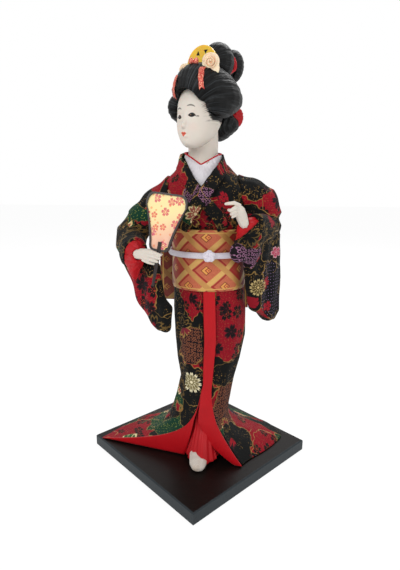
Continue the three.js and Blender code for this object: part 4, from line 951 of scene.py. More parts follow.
# %% Red satin
def satin_finish(name, deep=(138, 4, 14), bright=(190, 10, 22), threads=1600.0):
    """Satin between two reds, with its long threads drawn out along the height."""
    material, shader = new_finish(name, "red_satin", roughness=0.42, specular=0.2, sheen=0.04)
    place = place_on_object()
    fine = cloudy(turn_vector("MULTIPLY", place, (threads * 2, threads * 2, threads * 0.15)), 1.0, 2.0)
    broad = cloudy(place, 60.0, 3.0)
    colour = paint_over(times_plus(fine, 0.5, times(broad, 0.5)),
                        linear(*deep), linear(*bright))
    feed(shader.inputs["Base Color"], colour)
    feed(shader.inputs["Roughness"], times_plus(fine, 0.2, 0.34))
    raise_surface(shader, fine, 0.00012, 0.5)
    return material


red_satin = satin_finish("red_satin")

# %% [markdown]
# ## The skirt
#
# The skirt is one long wrap of cloth: it goes round the body from the right front edge, past the
# back, to the left front edge, and flares out over the plate into two trains. Nine lines down the
# cloth say where it goes, the outermost two for the lining and the band; each leaves the column
# late and runs out to its own place on the hem.
# The cloth between them is filled in row by row, and folds are added as waves that fade out
# towards the front edges.

# %% Skirt lines
COLUMN = [
    [46.6, 2.3, 0, 8.5, 7.6], [43.8, 2.4, 0, 8.7, 7.8], [37.0, 2.6, 0, 9.1, 7.7], [30.5, 2.8, 0, 9.0, 7.5],
    [24.0, 2.5, 0, 8.1, 7.2], [19.2, 2.3, -0.2, 7.0, 7.4], [14.0, 1.4, -0.7, 7.0, 7.9],
    [10.0, 0.5, -1.0, 7.0, 8.0],
    [0.0, 0.0, -1.0, 7.0, 8.0],
]
RAILS = {
    "lining_inner": (-7, (-3.2, -8.3), 2.3), "ridge_right": (-9, (-27.0, -1.4), 4.3),
    "side_right": (-75, (-20, 7.3), 5),
    "back_right": (-130, (-12, 14.8), 4), "back": (-180, (0, 21), 3.6),
    "back_left": (-230, (12.7, 14.2), 4.5),
    "side_left": (-285, (23.2, 2.7), 5), "ridge_left": (-350.5, (11.3, -12), 1.5),
    "band_inner": (-8, (9.6, -11.4), 3.2),
}
FLARE_TOP = 19.2
CLOTH_LIFT = 0.4


def rail_point(name, height):
    """Where one line down the cloth is at a height, level, in millimetres."""
    angle, hem, power = RAILS[name]
    x, y, wide, deep = blend_table(COLUMN, [height])[0]
    angle = math.radians(angle)
    start = np.array([x + wide * math.sin(angle), y - deep * math.cos(angle)])
    drop = min(max((FLARE_TOP - height) / FLARE_TOP, 0), 1)
    return (start + (np.array(hem) - start) * drop ** power) * HUNDREDTH


def skirt_row(height, count):
    """One level row of the skirt from its right front edge round the back to its left front edge."""
    names = ["ridge_right", "side_right", "back_right", "back", "back_left", "side_left", "ridge_left"]
    flared = smooth_route([rail_point(name, height) for name in names], count)
    x, y, wide, deep = blend_table(COLUMN, [height])[0]
    share = np.linspace(0, 1, count)
    first, last = RAILS["ridge_right"][0], RAILS["ridge_left"][0]
    angle = np.radians(first + (last - first) * share)
    column = np.stack([x + wide * np.sin(angle), y - deep * np.cos(angle)], 1) * HUNDREDTH
    drop = min(max((FLARE_TOP - height) / FLARE_TOP, 0), 1)
    row = column + (flared - column) * min(1, drop * 3)
    outward = np.stack([np.sin(angle), -np.cos(angle)], 1)
    folds = 1.1 * np.sin(share * 7 * math.tau) * np.sin(share * math.pi) ** 2 * math.sin(min(1,
        drop * 1.4) * math.pi)
    soft = 0.7 * np.sin(share * 11 * math.tau + height * 0.06) * np.sin(share * math.pi) ** 0.7 * rise(46
        - height, 2, 14)
    return row + outward * (folds + soft)[:, None], angle


SKIRT_HEIGHTS = np.concatenate([np.linspace(46.6, 20, 45), np.linspace(19.5, 6, 40),
    np.linspace(5.8, 0.15, 34)])
SKIRT_COLUMNS = 200
# The print is measured in millimetres from each front edge, and its two halves meet at the back.
BACK_SEAM = 37.0
skirt_grid, skirt_spread = [], []
for height in SKIRT_HEIGHTS:
    row, angle = skirt_row(height, SKIRT_COLUMNS)
    z = PLATE_TOP + height * HUNDREDTH + CLOTH_LIFT
    skirt_grid.append(np.column_stack([row, np.full(len(row), z)]))
skirt_grid = np.array(skirt_grid)
down = np.vstack([np.zeros(SKIRT_COLUMNS),
    np.cumsum(np.linalg.norm(np.diff(skirt_grid, axis=0), axis=2), axis=0)])
for level, row in enumerate(skirt_grid):
    along = np.concatenate([[0], np.cumsum(np.linalg.norm(np.diff(row, axis=0), axis=1))])
    from_front = np.where(np.arange(SKIRT_COLUMNS) < SKIRT_COLUMNS / 2, along + BACK_SEAM, along - along[-1])
    skirt_spread.append(np.stack([from_front, -down[level]], 1) * MM)
skirt = thick_sheet("kimono_skirt_cloth", skirt_grid * MM, 1.3 * MM, np.array(skirt_spread))
print("skirt", len(skirt.data.vertices), "points; hem runs", round(float(down[-1].mean())), "mm down")
SKIRT_PATCHES = [
    ("black", (-16, -22, 128), (6, 20, 16)),
    ("red", (-5, -26, 129), (7.5, 14, 13)),
    ("rings", (-6, -24, 94), (11, 16, 17)),
    ("red", (22, -20, 112), (15, 22, 31)),
    ("black", (-6, -24, 64), (20, 24, 14)),
    ("black", (24, -16, 72), (12, 24, 9)),
    ("red", (-30, -14, 42), (16, 18, 8)),
    ("green", (-43, 12, 22), (17, 20, 9)),
    ("red", (-52, -6, 14), (22, 26, 9)),
    ("black", (34, -30, 22), (14, 22, 22)),
    ("red", (60, -18, 14), (18, 22, 12)),
]
DARK_PETAL, DARK_EDGE = linear(16, 12, 14), linear(58, 18, 26)
SKIRT_BLOOMS = [
    ((20, -30, 124), False, 5.2, 5, DARK_PETAL, DARK_EDGE),
    ((24, -26, 106), False, 5.6, 5, DARK_PETAL, DARK_EDGE),
    ((14, -28, 94), False, 4.6, 5, DARK_PETAL, DARK_EDGE),
    ((-5, -29, 131), False, 4.8, 5, DARK_PETAL, DARK_EDGE),
    ((-5, -28, 66), False, 7.5, 12, linear(120, 110, 74), linear(222, 212, 176)),
    ((-12, -26, 75), False, 4.2, 5, linear(96, 92, 86), CREAM),
    ((-13, -28, 52), False, 4.6, 5, linear(140, 22, 34), GOLD),
    ((-55, -18, 15), False, 6.0, 6, linear(40, 84, 44), CREAM),
    ((62, -26, 17), False, 6.5, 6, linear(46, 88, 44), CREAM),
    ((28, -34, 24), False, 4.8, 5, linear(150, 22, 34), DARK_EDGE),
    ((44, -34, 12), False, 4.6, 5, linear(150, 22, 34), DARK_EDGE),
]
skirt_finish = kimono_finish("kimono_brocade_skirt", SKIRT_PATCHES, SKIRT_BLOOMS, brown_rings=True)
dress(skirt, "figure", skirt_finish, "kimono_skirt")

# %% [markdown]
# ## Linings and the turned-out front band
#
# Where the skirt parts, its red lining shows on the doll's right, and on the left the panel's
# edge is turned out as a padded band. Both are sheets between two of the skirt's own lines, so
# they follow it exactly.

# %% Lining and band
def side_sheet(name, first, second, heights, count, outer, cloth, belly=0.0):
    """A sheet between two of the skirt's lines, standing proud of them by outer millimetres."""
    grid = []
    for height in heights:
        start, end = rail_point(first, height), rail_point(second, height)
        share = np.linspace(0, 1, count)[:, None]
        row = start + (end - start) * share
        across = (end - start) / max(np.linalg.norm(end - start), 1e-6)
        normal = np.array([across[1], -across[0]])
        row = row + normal * (outer + belly * np.sin(share * math.pi))
        grid.append(np.column_stack([row, np.full(count, PLATE_TOP + height * HUNDREDTH + CLOTH_LIFT)]))
    return thick_sheet(name, np.array(grid) * MM, cloth * MM)


flare_heights = np.linspace(18.0, 0.2, 60)
lining = side_sheet("skirt_lining_cloth", "lining_inner", "ridge_right", flare_heights[::-1], 24, 0.0, 0.8)
dress(lining, "figure", red_satin, "skirt_lining_right")
band = side_sheet("front_band_cloth", "band_inner", "ridge_left", SKIRT_HEIGHTS, 20, 1.2, 0.9, belly=0.35)
dress(band, "figure", red_satin, "front_band")
print("lining and band made")

# %% [markdown]
# ## Underskirt and socks
#
# The underskirt is gathered tightly round the ankle. A real one is a straight strip of satin
# drawn up on a thread, so its pleats are narrow at the top and open downwards. The wave that makes
# them here does the same: many small waves at the top pass into fewer, deeper ones at the hem.
# In front it swells out over the sock, where its pleats are drawn nearly flat.

# %% Underskirt
UNDERSKIRT = [[1.2, 1.3, -6.6, 4.6, 5.8], [4.0, 1.4, -6.2, 3.8, 5.1], [8.0, 1.6, -5.2, 3.1, 4.3],
              [13.0, 1.8, -4.2, 2.8, 3.7]]
underskirt_rows = []
around = np.linspace(0, math.tau, 300, endpoint=False)
for height in np.linspace(13.0, 1.0, 44):
    x, y, wide, deep = blend_table(UNDERSKIRT, [height])[0]
    low = (13.0 - height) / 12.0
    pleats = 0.05 * low * np.cos(around * 9 + 0.6 * np.sin(around * 2 + low * 2))
    pleats = pleats + 0.045 * np.cos(around * 23 + 0.8 * np.sin(around * 3 + low * 3)) * (1 - 0.4 * low)
    over_sock = np.exp(-(np.sin(around) / 0.5) ** 2) * (np.cos(around) > 0)
    swell = 1.0 + pleats * (1 - 0.75 * over_sock)
    lifted = 1.35 * over_sock * rise(low, 0.15, 0.75)
    underskirt_rows.append(np.column_stack([
        (x + wide * swell * np.sin(around)) * HUNDREDTH,
        (y - deep * swell * np.cos(around) - lifted) * HUNDREDTH,
        np.full(len(around), PLATE_TOP + height * HUNDREDTH),
    ]))
underskirt = thick_sheet("underskirt_cloth", np.array(underskirt_rows)[::-1] * MM, 0.7 * MM, around=True)
dress(underskirt, "figure", red_satin, "underskirt")

# %% Socks
sock_finish, sock_shader = new_finish("sock_cloth", "sock_cloth", roughness=0.92, specular=0.15, sheen=0.2)
sock_place = place_on_object()
_, sock_y, sock_z = parts_of(sock_place)
sock_weave = use(weave, Place=vector_of(sock_y, sock_z), Threads_per_metre=1900.0, Unevenness=0.4)
sock_stain = cloudy(sock_place, 140.0, 3.0)
sock_paint = paint_over(sock_weave["Height"], linear(186, 176, 166), linear(214, 206, 196))
sock_paint = paint_over(step_between(sock_stain, 0.5, 0.72), sock_paint, linear(190, 172, 156))
feed(sock_shader.inputs["Base Color"], sock_paint)
raise_surface(sock_shader, sock_weave["Height"], 0.0002, 0.6)
for node in ("foot_front", "foot_rear"):
    made = soften(node, node + "_sock", 0.45, 5)
    points = points_of(made)
    wrinkle = 0.12 * np.sin(points[:, 1] / MM * 1.7 + 1.2 * ripple(points, 9, 2)) * rise(points[:,
        2] / MM, 13, 18)
    move_points(made, points + normals_of(made) * (wrinkle * MM)[:, None])
    dress(made, "figure", sock_finish, node)
print("underskirt and socks made")

# %% [markdown]
# ## Bodice and sleeves
#
# The upper kimono is one cloth folded round a padded body. The bodice and the two sleeves start
# from their solids as even nets, and get the folds that hanging cloth has: long soft pleats that
# start at the shoulder and the elbow and die out downwards, and a sharper crease where the
# forearm lifts the cloth. Each point also keeps its place on the flat cloth, so that the print
# isn't squeezed where the surface turns away.

# %% Bodice
def flat_round_body(points, middle=(5.0, 0.0), radius=27.0):
    """Flat places for cloth wrapped round the body: the arc's length, and the height."""
    angle = np.arctan2(points[:, 0] / MM - middle[0], -(points[:, 1] / MM - middle[1]))
    return angle * radius * MM, points[:, 2]


BODICE_PATCHES = [
    ("red", (-17, -16, 214), (9, 16, 14)),
    ("black", (-4, -22, 222), (8, 14, 9)),
    ("rings", (-3, -24, 205), (10, 14, 7)),
    ("green", (-7, -26, 194), (7.5, 14, 6)),
    ("black", (-4, -26, 184), (13, 16, 6)),
    ("black", (22, -16, 210), (17, 20, 15)),
    ("red", (13, -26, 190), (13, 18, 13)),
    ("black", (30, -14, 188), (9, 20, 14)),
]
bodice_finish = kimono_finish("kimono_brocade_bodice", BODICE_PATCHES, [
    ((-5.5, -28, 187), False, 6.8, 5, linear(84, 22, 32), GOLD),
    ((17, -26, 202), False, 4.6, 5, linear(150, 20, 34), DARK_EDGE),
    ((24, -24, 205), False, 3.8, 5, linear(150, 20, 34), DARK_EDGE),
    ((9, -29, 190), False, 5.0, 5, DARK_PETAL, DARK_EDGE),
    ((19, -28, 187), False, 4.6, 5, DARK_PETAL, DARK_EDGE),
])
bodice = soften("kimono_bodice", "bodice_cloth", 0.75, 7)
points = points_of(bodice)
pulled = np.sin((points[:, 0] / MM * 0.8 + points[:, 2] / MM) * 0.42 + ripple(points, 30, 1)) * 0.28
pulled = pulled * (0.3 + 0.7 * rise(-points[:, 1] / MM, -12, 8))
move_points(bodice, points + normals_of(bodice) * (pulled * MM)[:, None])
lay_cloth(bodice, *flat_round_body(points))
dress(bodice, "figure", bodice_finish, "kimono_bodice")

# %% Sleeves
SLEEVES = {
    "right": dict(
        along=(0.76, -0.65), elbow=(-56.0, -2.0, 172.0), lean=1.0,
        patches=[
            ("red", (-26, -8, 218), (9, 14, 6)), ("black", (-44, -6, 204), (14, 18, 9)),
            ("green", (-46, -12, 189), (13, 18, 7)),
            ("black", (-54, -8, 176), (16, 20, 9)), ("green", (-58, -8, 162), (9, 20, 8)),
            ("black", (-46, -14, 154), (9, 16, 6)),
            ("red", (-44, -18, 133), (17, 22, 19)), ("black", (-30, -26, 112), (18, 20, 10)),
        ],
        blooms=[((-40, -26, 141), False, 5.4, 5, DARK_PETAL, DARK_EDGE),
        ((-49, -20, 130), False, 5.0, 5, DARK_PETAL, DARK_EDGE),
                ((-34, -28, 126), False, 4.6, 5, DARK_PETAL, DARK_EDGE),
                ((-33, -28, 112), False, 4.6, 5, linear(126, 16, 28), DARK_EDGE)],
    ),
    "left": dict(
        along=(-0.65, -0.76), elbow=(55.0, -2.0, 178.0), lean=-1.0,
        patches=[
            ("black", (36, -8, 213), (14, 22, 15)), ("red", (56, -4, 203), (9, 18, 13)),
            ("black", (42, -18, 184), (18, 22, 12)),
            ("rings", (30, -30, 165), (12, 16, 9)), ("black", (54, -10, 164), (12, 22, 12)),
            ("dots", (53, -12, 136), (10, 24, 24)),
            ("black", (38, -24, 136), (12, 18, 18)), ("red", (46, -18, 116), (9, 18, 5)),
        ],
        blooms=[((42, -24, 140), False, 6.0, 12, linear(74, 60, 34), linear(186, 164, 110)),
                ((50, -18, 124), False, 4.4, 5, linear(150, 20, 34), DARK_EDGE),
                ((55.5, -9, 163), False, 4.2, 5, linear(170, 60, 84), linear(200, 150, 160)),
                ((56, -8, 200), False, 5.0, 5, DARK_PETAL, DARK_EDGE),
                ((49, -12, 210), False, 4.4, 5, DARK_PETAL, DARK_EDGE)],
    ),
}


def drape_sleeve(side, facts):
    """The sleeve's own net with hanging folds, laid flat along the way its bag runs."""
    made = soften("sleeve_" + side, "sleeve_" + side + "_cloth", 0.75, 5)
    points = points_of(made)
    place = points / MM
    way = np.array([*facts["along"], 0.0])
    way /= np.linalg.norm(way)
    run = (place - np.array(facts["elbow"])) @ way
    drop = facts["elbow"][2] - place[:, 2]
    hang = rise(drop, -6, 12) * (1 - 0.35 * rise(drop, 40, 64))
    long_folds = np.sin(run * 0.44 + 0.9 * np.sin(drop * 0.05 + 1.0) + 0.6 * ripple(points, 60, 3))
    fan_folds = np.sin(np.arctan2(run + 14, drop + 30) * 15 + 0.5 * ripple(points, 40, 4))
    shoulder = 1 - rise(drop, -30, -6)
    across = np.sin((place[:, 2] * 0.8 + facts["lean"] * place[:, 0] * 0.6) * 0.36 + ripple(points, 34, 5))
    push = 0.75 * long_folds * hang + 0.35 * fan_folds * hang + 0.4 * across * (shoulder + 0.4)
    move_points(made, points + normals_of(made) * (push * MM)[:, None])
    lay_cloth(made, run * MM, points[:, 2])
    finish = kimono_finish("kimono_brocade_sleeve_" + side, facts["patches"], facts["blooms"])
    return dress(made, "figure", finish, "sleeve_" + side)


sleeves = {side: drape_sleeve(side, facts) for side, facts in SLEEVES.items()}
print("sleeves:", {side: len(made.data.vertices) for side, made in sleeves.items()})

# %% [markdown]
# ## Cuffs and collars
#
# A red satin lining fills each sleeve's mouth and narrows towards the wrist in loose gathers. It
# is lifted clear of the padded arm under it, and the right one hangs to a point below the hand.
# At the throat the cloths lie in their order of dressing: the thin red piping against the neck,
# the white collar under it, and the two kimono collars crossing outside, left over right.

# %% Cuffs
CUFF_TIP = {"right": 6.0, "left": 0.0}
CUFF_LIFT = {"right": 0.75, "left": 0.3}
cuffs = {}
for side in ("right", "left"):
    cuff = soften("cuff_lining_" + side, "cuff_" + side + "_cloth", 0.4, 4)
    points = points_of(cuff)
    middle = points.mean(0)
    way = np.array([*SLEEVES[side]["along"], 0.0])
    way /= np.linalg.norm(way)
    offset = points - middle
    sideways = offset @ np.array([-way[1], way[0], 0.0])
    turn = np.arctan2(sideways, offset[:, 2])
    gathers = 0.22 * np.sin(turn * 11 + ripple(points, 12, 6)) + 0.12 * np.sin(turn * 23)
    moved = points + normals_of(cuff) * ((gathers + CUFF_LIFT[side]) * MM)[:, None]
    below = np.clip(-offset[:, 2] / (-offset[:, 2]).max(), 0, 1) ** 2
    moved[:, 2] -= below * CUFF_TIP[side] * MM
    moved[:, 1] -= below * CUFF_TIP[side] * 0.15 * MM
    moved[:, 0] += below * CUFF_TIP[side] * (0.1 * MM - 0.1 * offset[:, 0])
    move_points(cuff, moved)
    dress(cuff, "figure", red_satin, "cuff_lining_" + side)
    cuffs[side] = cuff

# %% [markdown]
# The sleeve's own mouth folds over part of that lining. Each fold is cut from the lining's shape
# along a slanting line, lifted off it by a little more than the brocade's thickness, and given a
# finish of its own.

# %% Sleeve mouths
mouth_brocade = kimono_finish("kimono_brocade_mouth",
    [("black", (32, -28, 172), (30, 30, 30)), ("black", (-48, -28, 165), (20, 30, 30))])


def mouth_fold(side, covered, lift=0.7, cloth=0.6):
    """Brocade over the part of a cuff where covered, a measure of each place, is above zero."""
    source = cuffs[side]
    points, normals = points_of(source), normals_of(source)
    amount = covered(points / MM)
    kept = [list(face.vertices) for face in source.data.polygons if all(amount[v] > 0 for v in face.vertices)]
    used = sorted({v for face in kept for v in face})
    place_in = {v: index for index, v in enumerate(used)}
    outer = points[used] + normals[used] * (lift * MM)
    inner = points[used] + normals[used] * ((lift - cloth) * MM)
    count = len(used)
    faces = [[place_in[v] for v in face] for face in kept]
    faces += [[place_in[v] + count for v in reversed(face)] for face in kept]
    edges = {(face[k - 1], face[k]) for face in faces[:len(kept)] for k in range(len(face))}
    faces += [[end, start, start + count, end + count] for start, end in edges if (end, start) not in edges]
    mesh = bpy.data.meshes.new("sleeve_mouth_" + side)
    mesh.from_pydata(np.vstack([outer, inner]).tolist(), [], faces)
    mesh.polygons.foreach_set("use_smooth", np.ones(len(faces), bool))
    made = bpy.data.objects.new("sleeve_mouth_" + side, mesh)
    bpy.context.scene.collection.objects.link(made)
    lay_cloth(made, points_of(made)[:, 0], points_of(made)[:, 2])
    mesh.materials.append(mouth_brocade)
    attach(made, "figure")
    return made


mouths = {
    "left": mouth_fold("left", lambda p: (190.5 - p[:, 2]) - 0.86 * (44.0 - p[:, 0])),
    "right": mouth_fold("right", lambda p: -49.0 - p[:, 0] + 0.12 * (p[:, 2] - 165)),
}
print("sleeve mouths:", [len(mouth.data.vertices) for mouth in mouths.values()])

# %% Collars
crepe, crepe_shader = new_finish("white_crepe", "white_crepe", roughness=0.85, specular=0.2, sheen=0.25)
crepe_place = place_on_object()
crinkle = cloudy(crepe_place, 1500.0, 3.0, 0.6)
crepe_tone = cloudy(crepe_place, 120.0, 2.0)
feed(crepe_shader.inputs["Base Color"], paint_over(times_plus(crinkle, 0.5, times(crepe_tone, 0.5)),
    linear(212, 208, 214), linear(232, 229, 232)))
raise_surface(crepe_shader, crinkle, 0.00025, 0.7)

under_collar = soften("under_collar", "under_collar_cloth", 0.4, 4)
points = points_of(under_collar)
place = points / MM
pleat = 0.07 * np.sin((np.abs(place[:, 0] - 1.6) * 1.0 + (place[:, 2] - 208) * 0.55) * 2.4)
move_points(under_collar, points + normals_of(under_collar) * (pleat * MM)[:, None])
dress(under_collar, "figure", crepe, "under_collar")

piping = soften("collar_piping", "collar_piping_roll", 0.28, 4, push=0.05)
points = points_of(piping)
twist = 0.07 * np.sin((points[:, 0] + points[:, 1] + points[:, 2]) / MM * 4.2)
move_points(piping, points + normals_of(piping) * (twist * MM)[:, None])
piping_satin = satin_finish("piping_satin", deep=(150, 8, 24), bright=(196, 16, 36))
dress(piping, "figure", piping_satin, "collar_piping")

COLLAR_PATCHES = {
    "right": [("red", (-16, -14, 218), (7, 14, 12)), ("black", (-7, -20, 214), (6.5, 14, 10)),
              ("rings", (1, -24, 201), (8, 14, 6)), ("black", (9, -26, 190), (7, 14, 7))],
    "left": [("black", (14, -20, 214), (12, 16, 14)), ("rings", (8, -25, 203), (6, 12, 5)),
             ("black", (5, -27, 196), (7, 14, 5)), ("green", (-4, -27, 190), (8, 14, 7)),
             ("black", (20, -6, 224), (9, 16, 9))],
}
for side in ("right", "left"):
    collar = soften("kimono_collar_" + side, "kimono_collar_" + side + "_cloth", 0.42, 5)
    points = points_of(collar)
    place = points / MM
    roll = 0.12 * np.sin(place[:, 2] * 0.7 + place[:, 0] * 0.5)
    move_points(collar, points + normals_of(collar) * (roll * MM)[:, None])
    lay_cloth(collar, *flat_round_body(points))
    finish = kimono_finish("kimono_brocade_collar_" + side, COLLAR_PATCHES[side])
    dress(collar, "figure", finish, "kimono_collar_" + side)
print("cuffs and collars made")

# %% [markdown]
# ## Obi, cord and knot
#
# The obi is a stiff gold brocade. Its pattern is woven on a slant: gold bands cross it both ways,
# and diamonds of small squares sit where the bands leave room. Drawn in maths, a slanted grid is
# just the sum and the difference of the two flat directions, folded back on themselves.

# %% Obi brocade
OBI_ACROSS = 0.0262
OBI_UP = 0.0228
OBI_MIDDLE = (-0.0012, 0.175)
OBI_TOP, OBI_BOTTOM, OBI_RADIUS = 57.2, 42.9, 26.4

obi_tree, obi_in, obi_out = group_tree(
    "obi_diamonds",
    [("Place", "vector", None), ("Across", "value", OBI_ACROSS), ("Up", "value", OBI_UP)],
    [("Colour", "colour"), ("Height", "value"), ("Gold", "value")],
)
obi_u, obi_v, _ = parts_of(obi_in["Place"])
share_u = plus(divided(minus(obi_u, OBI_MIDDLE[0]), obi_in["Across"]), 0.5)
share_v = divided(minus(obi_v, OBI_MIDDLE[1]), obi_in["Up"])
rising = plus(share_u, share_v)
falling = minus(share_u, share_v)
in_rising = calc("FRACT", rising)
in_falling = calc("FRACT", falling)


def strip(value, middle, half, soft=0.015):
    """One where a value lies within half of a middle, with a soft edge."""
    return step_between(size_of(minus(value, middle)), half + soft, half - soft)


def square(first, second, middle, half, soft=0.012):
    """A filled square in two slanted directions, which is a diamond on the cloth."""
    return times(strip(first, middle[0], half, soft), strip(second, middle[1], half, soft))


# the cell's middle is 0.5, 0.5; a move to the doll's left on the cloth adds to both directions
thread_noise = cloudy(turn_vector("MULTIPLY", obi_in["Place"], (2600.0, 700.0, 700.0)), 1.0, 3.0)
worn = cloudy(obi_in["Place"], 70.0, 3.0)
row_wave = calc("SINE", times(obi_v, 9000.0))
# Cells more than one column from the front are painted in the darker red: painted shade where the obi's sides
# turn away.
column = plus(calc("FLOOR", rising), calc("FLOOR", falling))
side_shade_column = calc("GREATER_THAN", size_of(column), 1.5)
field = paint_over(thread_noise, linear(164, 72, 44), linear(202, 112, 74))
red_field = paint_over(thread_noise, linear(128, 22, 18), linear(164, 40, 28))
obi_colour = paint_over(times(side_shade_column, 0.8), field, red_field)
red_lines = larger(strip(in_rising, 0.165, 0.035), strip(in_falling, 0.165, 0.035))
obi_colour = paint_over(red_lines, obi_colour, linear(150, 26, 18))
big = square(in_rising, in_falling, (0.5, 0.5), 0.155)
big_rim = minus(big, square(in_rising, in_falling, (0.5, 0.5), 0.125))
small = square(in_rising, in_falling, (0.555, 0.555), 0.098)
small_rim = minus(small, square(in_rising, in_falling, (0.555, 0.555), 0.068))
eye = square(in_rising, in_falling, (0.565, 0.565), 0.024)
gold_paint = paint_over(worn, linear(196, 128, 58), linear(232, 168, 84))
obi_colour = paint_over(big, obi_colour, gold_paint)
dark_lines = larger(larger(big_rim, small_rim), eye)
obi_colour = paint_over(times(small, 0.7), obi_colour, linear(222, 122, 66))
obi_colour = paint_over(dark_lines, obi_colour, linear(112, 20, 12))
band_up = strip(in_rising, 0.0, 0.105)
band_up = larger(band_up, strip(in_rising, 1.0, 0.105))
band_down = larger(strip(in_falling, 0.0, 0.105), strip(in_falling, 1.0, 0.105))
up_paint = paint_over(worn, linear(174, 122, 62), linear(200, 150, 86))
down_paint = paint_over(worn, linear(194, 146, 78), linear(218, 176, 104))
obi_colour = paint_over(band_down, obi_colour, down_paint)
obi_colour = paint_over(band_up, obi_colour, up_paint)
gold_mask = larger(larger(band_up, band_down), minus(big, dark_lines))
gold_mask = times(gold_mask, times_plus(thread_noise, 0.9, 0.3), clamp=True)
feed(obi_out["Colour"], turn_vector("SCALE", obi_colour,
    scale=times_plus(row_wave, 0.08, times_plus(thread_noise, 0.3, 0.78))))
feed(obi_out["Height"], times_plus(row_wave, 0.15, times(gold_mask, 0.6)))
feed(obi_out["Gold"], gold_mask)


def obi_finish(name, painted_shade=None, edge=None):
    """The obi's brocade; tint darkens it, and edge gives gold lines near a piece's long sides."""
    material, shader = new_finish(name, "obi_brocade", roughness=0.55, specular=0.4, sheen=0.1)
    made = use(obi_tree, Place=lit("cloth"))
    colour = made["Colour"]
    # Where a piece hangs in shade, the brocade is painted darker towards a given colour: painted shade.
    if painted_shade:
        colour = paint_over(painted_shade[1], colour, painted_shade[0])
    if edge:
        colour = paint_over(edge(), colour, linear(196, 150, 80))
    feed(shader.inputs["Base Color"], colour)
    feed(shader.inputs["Metallic"], times(made["Gold"], 0.45))
    feed(shader.inputs["Roughness"], times_plus(made["Gold"], -0.2, 0.6))
    raise_surface(shader, made["Height"], 0.0003, 0.7)
    return material


OBI = [[OBI_BOTTOM, 2.3, -0.1, 9.1, 8.6], [49.5, 2.3, -0.1, 9.0, 8.5], [OBI_TOP, 2.2, -0.1, 9.1, 8.5]]


def obi_ring(height, grow, count):
    """A level ring round the obi, pushed out by grow millimetres, with the arc's length along it."""
    x, y, wide, deep = blend_table(OBI, [height])[0]
    angle = np.linspace(-math.pi, math.pi, count, endpoint=False)
    ring = np.column_stack([
        x * HUNDREDTH + (wide * HUNDREDTH + grow) * np.sin(angle),
        y * HUNDREDTH - (deep * HUNDREDTH + grow) * np.cos(angle),
        np.full(count, PLATE_TOP + height * HUNDREDTH),
    ])
    return ring, angle * OBI_RADIUS


def obi_edge():
    """Thin gold lines along the obi's upper and lower edge."""
    _, v, _ = parts_of(lit("cloth"))
    top = (PLATE_TOP + OBI_TOP * HUNDREDTH) * MM
    bottom = (PLATE_TOP + OBI_BOTTOM * HUNDREDTH) * MM
    high = step_between(size_of(minus(v, top - 0.0022)), 0.0006, 0.0003)
    low = step_between(size_of(minus(v, bottom + 0.0018)), 0.0005, 0.00025)
    return larger(high, low)


obi_rows, obi_places = [], []
for height in np.linspace(OBI_TOP, OBI_BOTTOM, 50):
    middle_share = (height - OBI_BOTTOM) / (OBI_TOP - OBI_BOTTOM)
    ends = -0.25 * (rise(middle_share, 0.97, 1.0) + rise(0.03 - middle_share, 0, 0.03))
    waist = -0.35 * math.exp(-((height - 51.4) / 1.1) ** 2)
    ring, along = obi_ring(height, ends + waist, 220)
    layer = 0.3 * rise(np.abs(along) * -1 + 77, 0, 1.5) * rise(middle_share, 0.0, 0.2)
    creases = 0.16 * np.sin(along * 0.21 + height * 0.9) * np.sin(middle_share * math.pi)
    turned = np.arctan2(ring[:, 0] - 6.9, -(ring[:, 1] + 0.3))
    outward = np.column_stack([np.sin(turned), -np.cos(turned), np.zeros(len(ring))])
    obi_rows.append(ring + outward * (creases + layer - 0.3)[:, None])
    obi_places.append(np.column_stack([along * MM, ring[:, 2] * MM]))
obi_band = thick_sheet("obi_band_cloth", np.array(obi_rows)[::-1] * MM, 1.2 * MM,
    np.array(obi_places)[::-1], around=True)
dress(obi_band, "figure", obi_finish("obi_brocade_band", edge=obi_edge), "obi_band")

# %% [markdown]
# The cord is a flat braid. Its surface is a tube whose height follows a chevron: on each half the
# strands run down towards the middle line, so the wave takes the distance along the cord plus the
# distance from the middle. The knot is one closed strand that goes round twice in five small
# loops, over and under itself, pressed flat.

# %% Braided cord and knot
def braid_height(along, across, half, pitch=1.5):
    """Height of a flat braid's strands, in millimetres."""
    return 0.2 * np.abs(np.sin(math.pi * (along + 0.9 * np.abs(across))
        / pitch)) - 0.12 * np.exp(-(across / (half * 0.14)) ** 2)


CORD_HALF_HEIGHT, CORD_HALF_THICKNESS, CORD_HEIGHT = 2.31, 1.3, 51.4
cord_rings = []
cord_sides, cord_steps = 22, 900
for step, (place, along) in enumerate(zip(*obi_ring(CORD_HEIGHT, 0.3 + CORD_HALF_THICKNESS, cord_steps))):
    angle = step / cord_steps * math.tau
    outward = np.array([math.sin(angle), -math.cos(angle), 0.0])
    roll = np.linspace(0, math.tau, cord_sides, endpoint=False)
    across = CORD_HALF_HEIGHT * 0.9 * np.cos(roll)
    depth = CORD_HALF_THICKNESS * 0.85 * np.sin(roll)
    raised = braid_height(along, across, CORD_HALF_HEIGHT) * np.clip(np.sin(roll), -0.2, 1)
    cord_rings.append(place + np.outer(across, (0, 0, 1)) + outward * (depth + raised)[:, None])
cord = closed_tube("obi_cord_braid", np.array(cord_rings) * MM, loop=True)
braid_finish, braid_shader = new_finish("white_braid", "white_crepe", roughness=0.75, specular=0.3, sheen=0.3)
braid_place = place_on_object()
fibres = cloudy(turn_vector("MULTIPLY", braid_place, (2500.0, 2500.0, 900.0)), 1.0, 2.0)
feed(braid_shader.inputs["Base Color"], paint_over(fibres, linear(184, 176, 188), linear(228, 224, 230)))
raise_surface(braid_shader, fibres, 0.0002, 0.6)
dress(cord, "figure", braid_finish, "obi_cord")

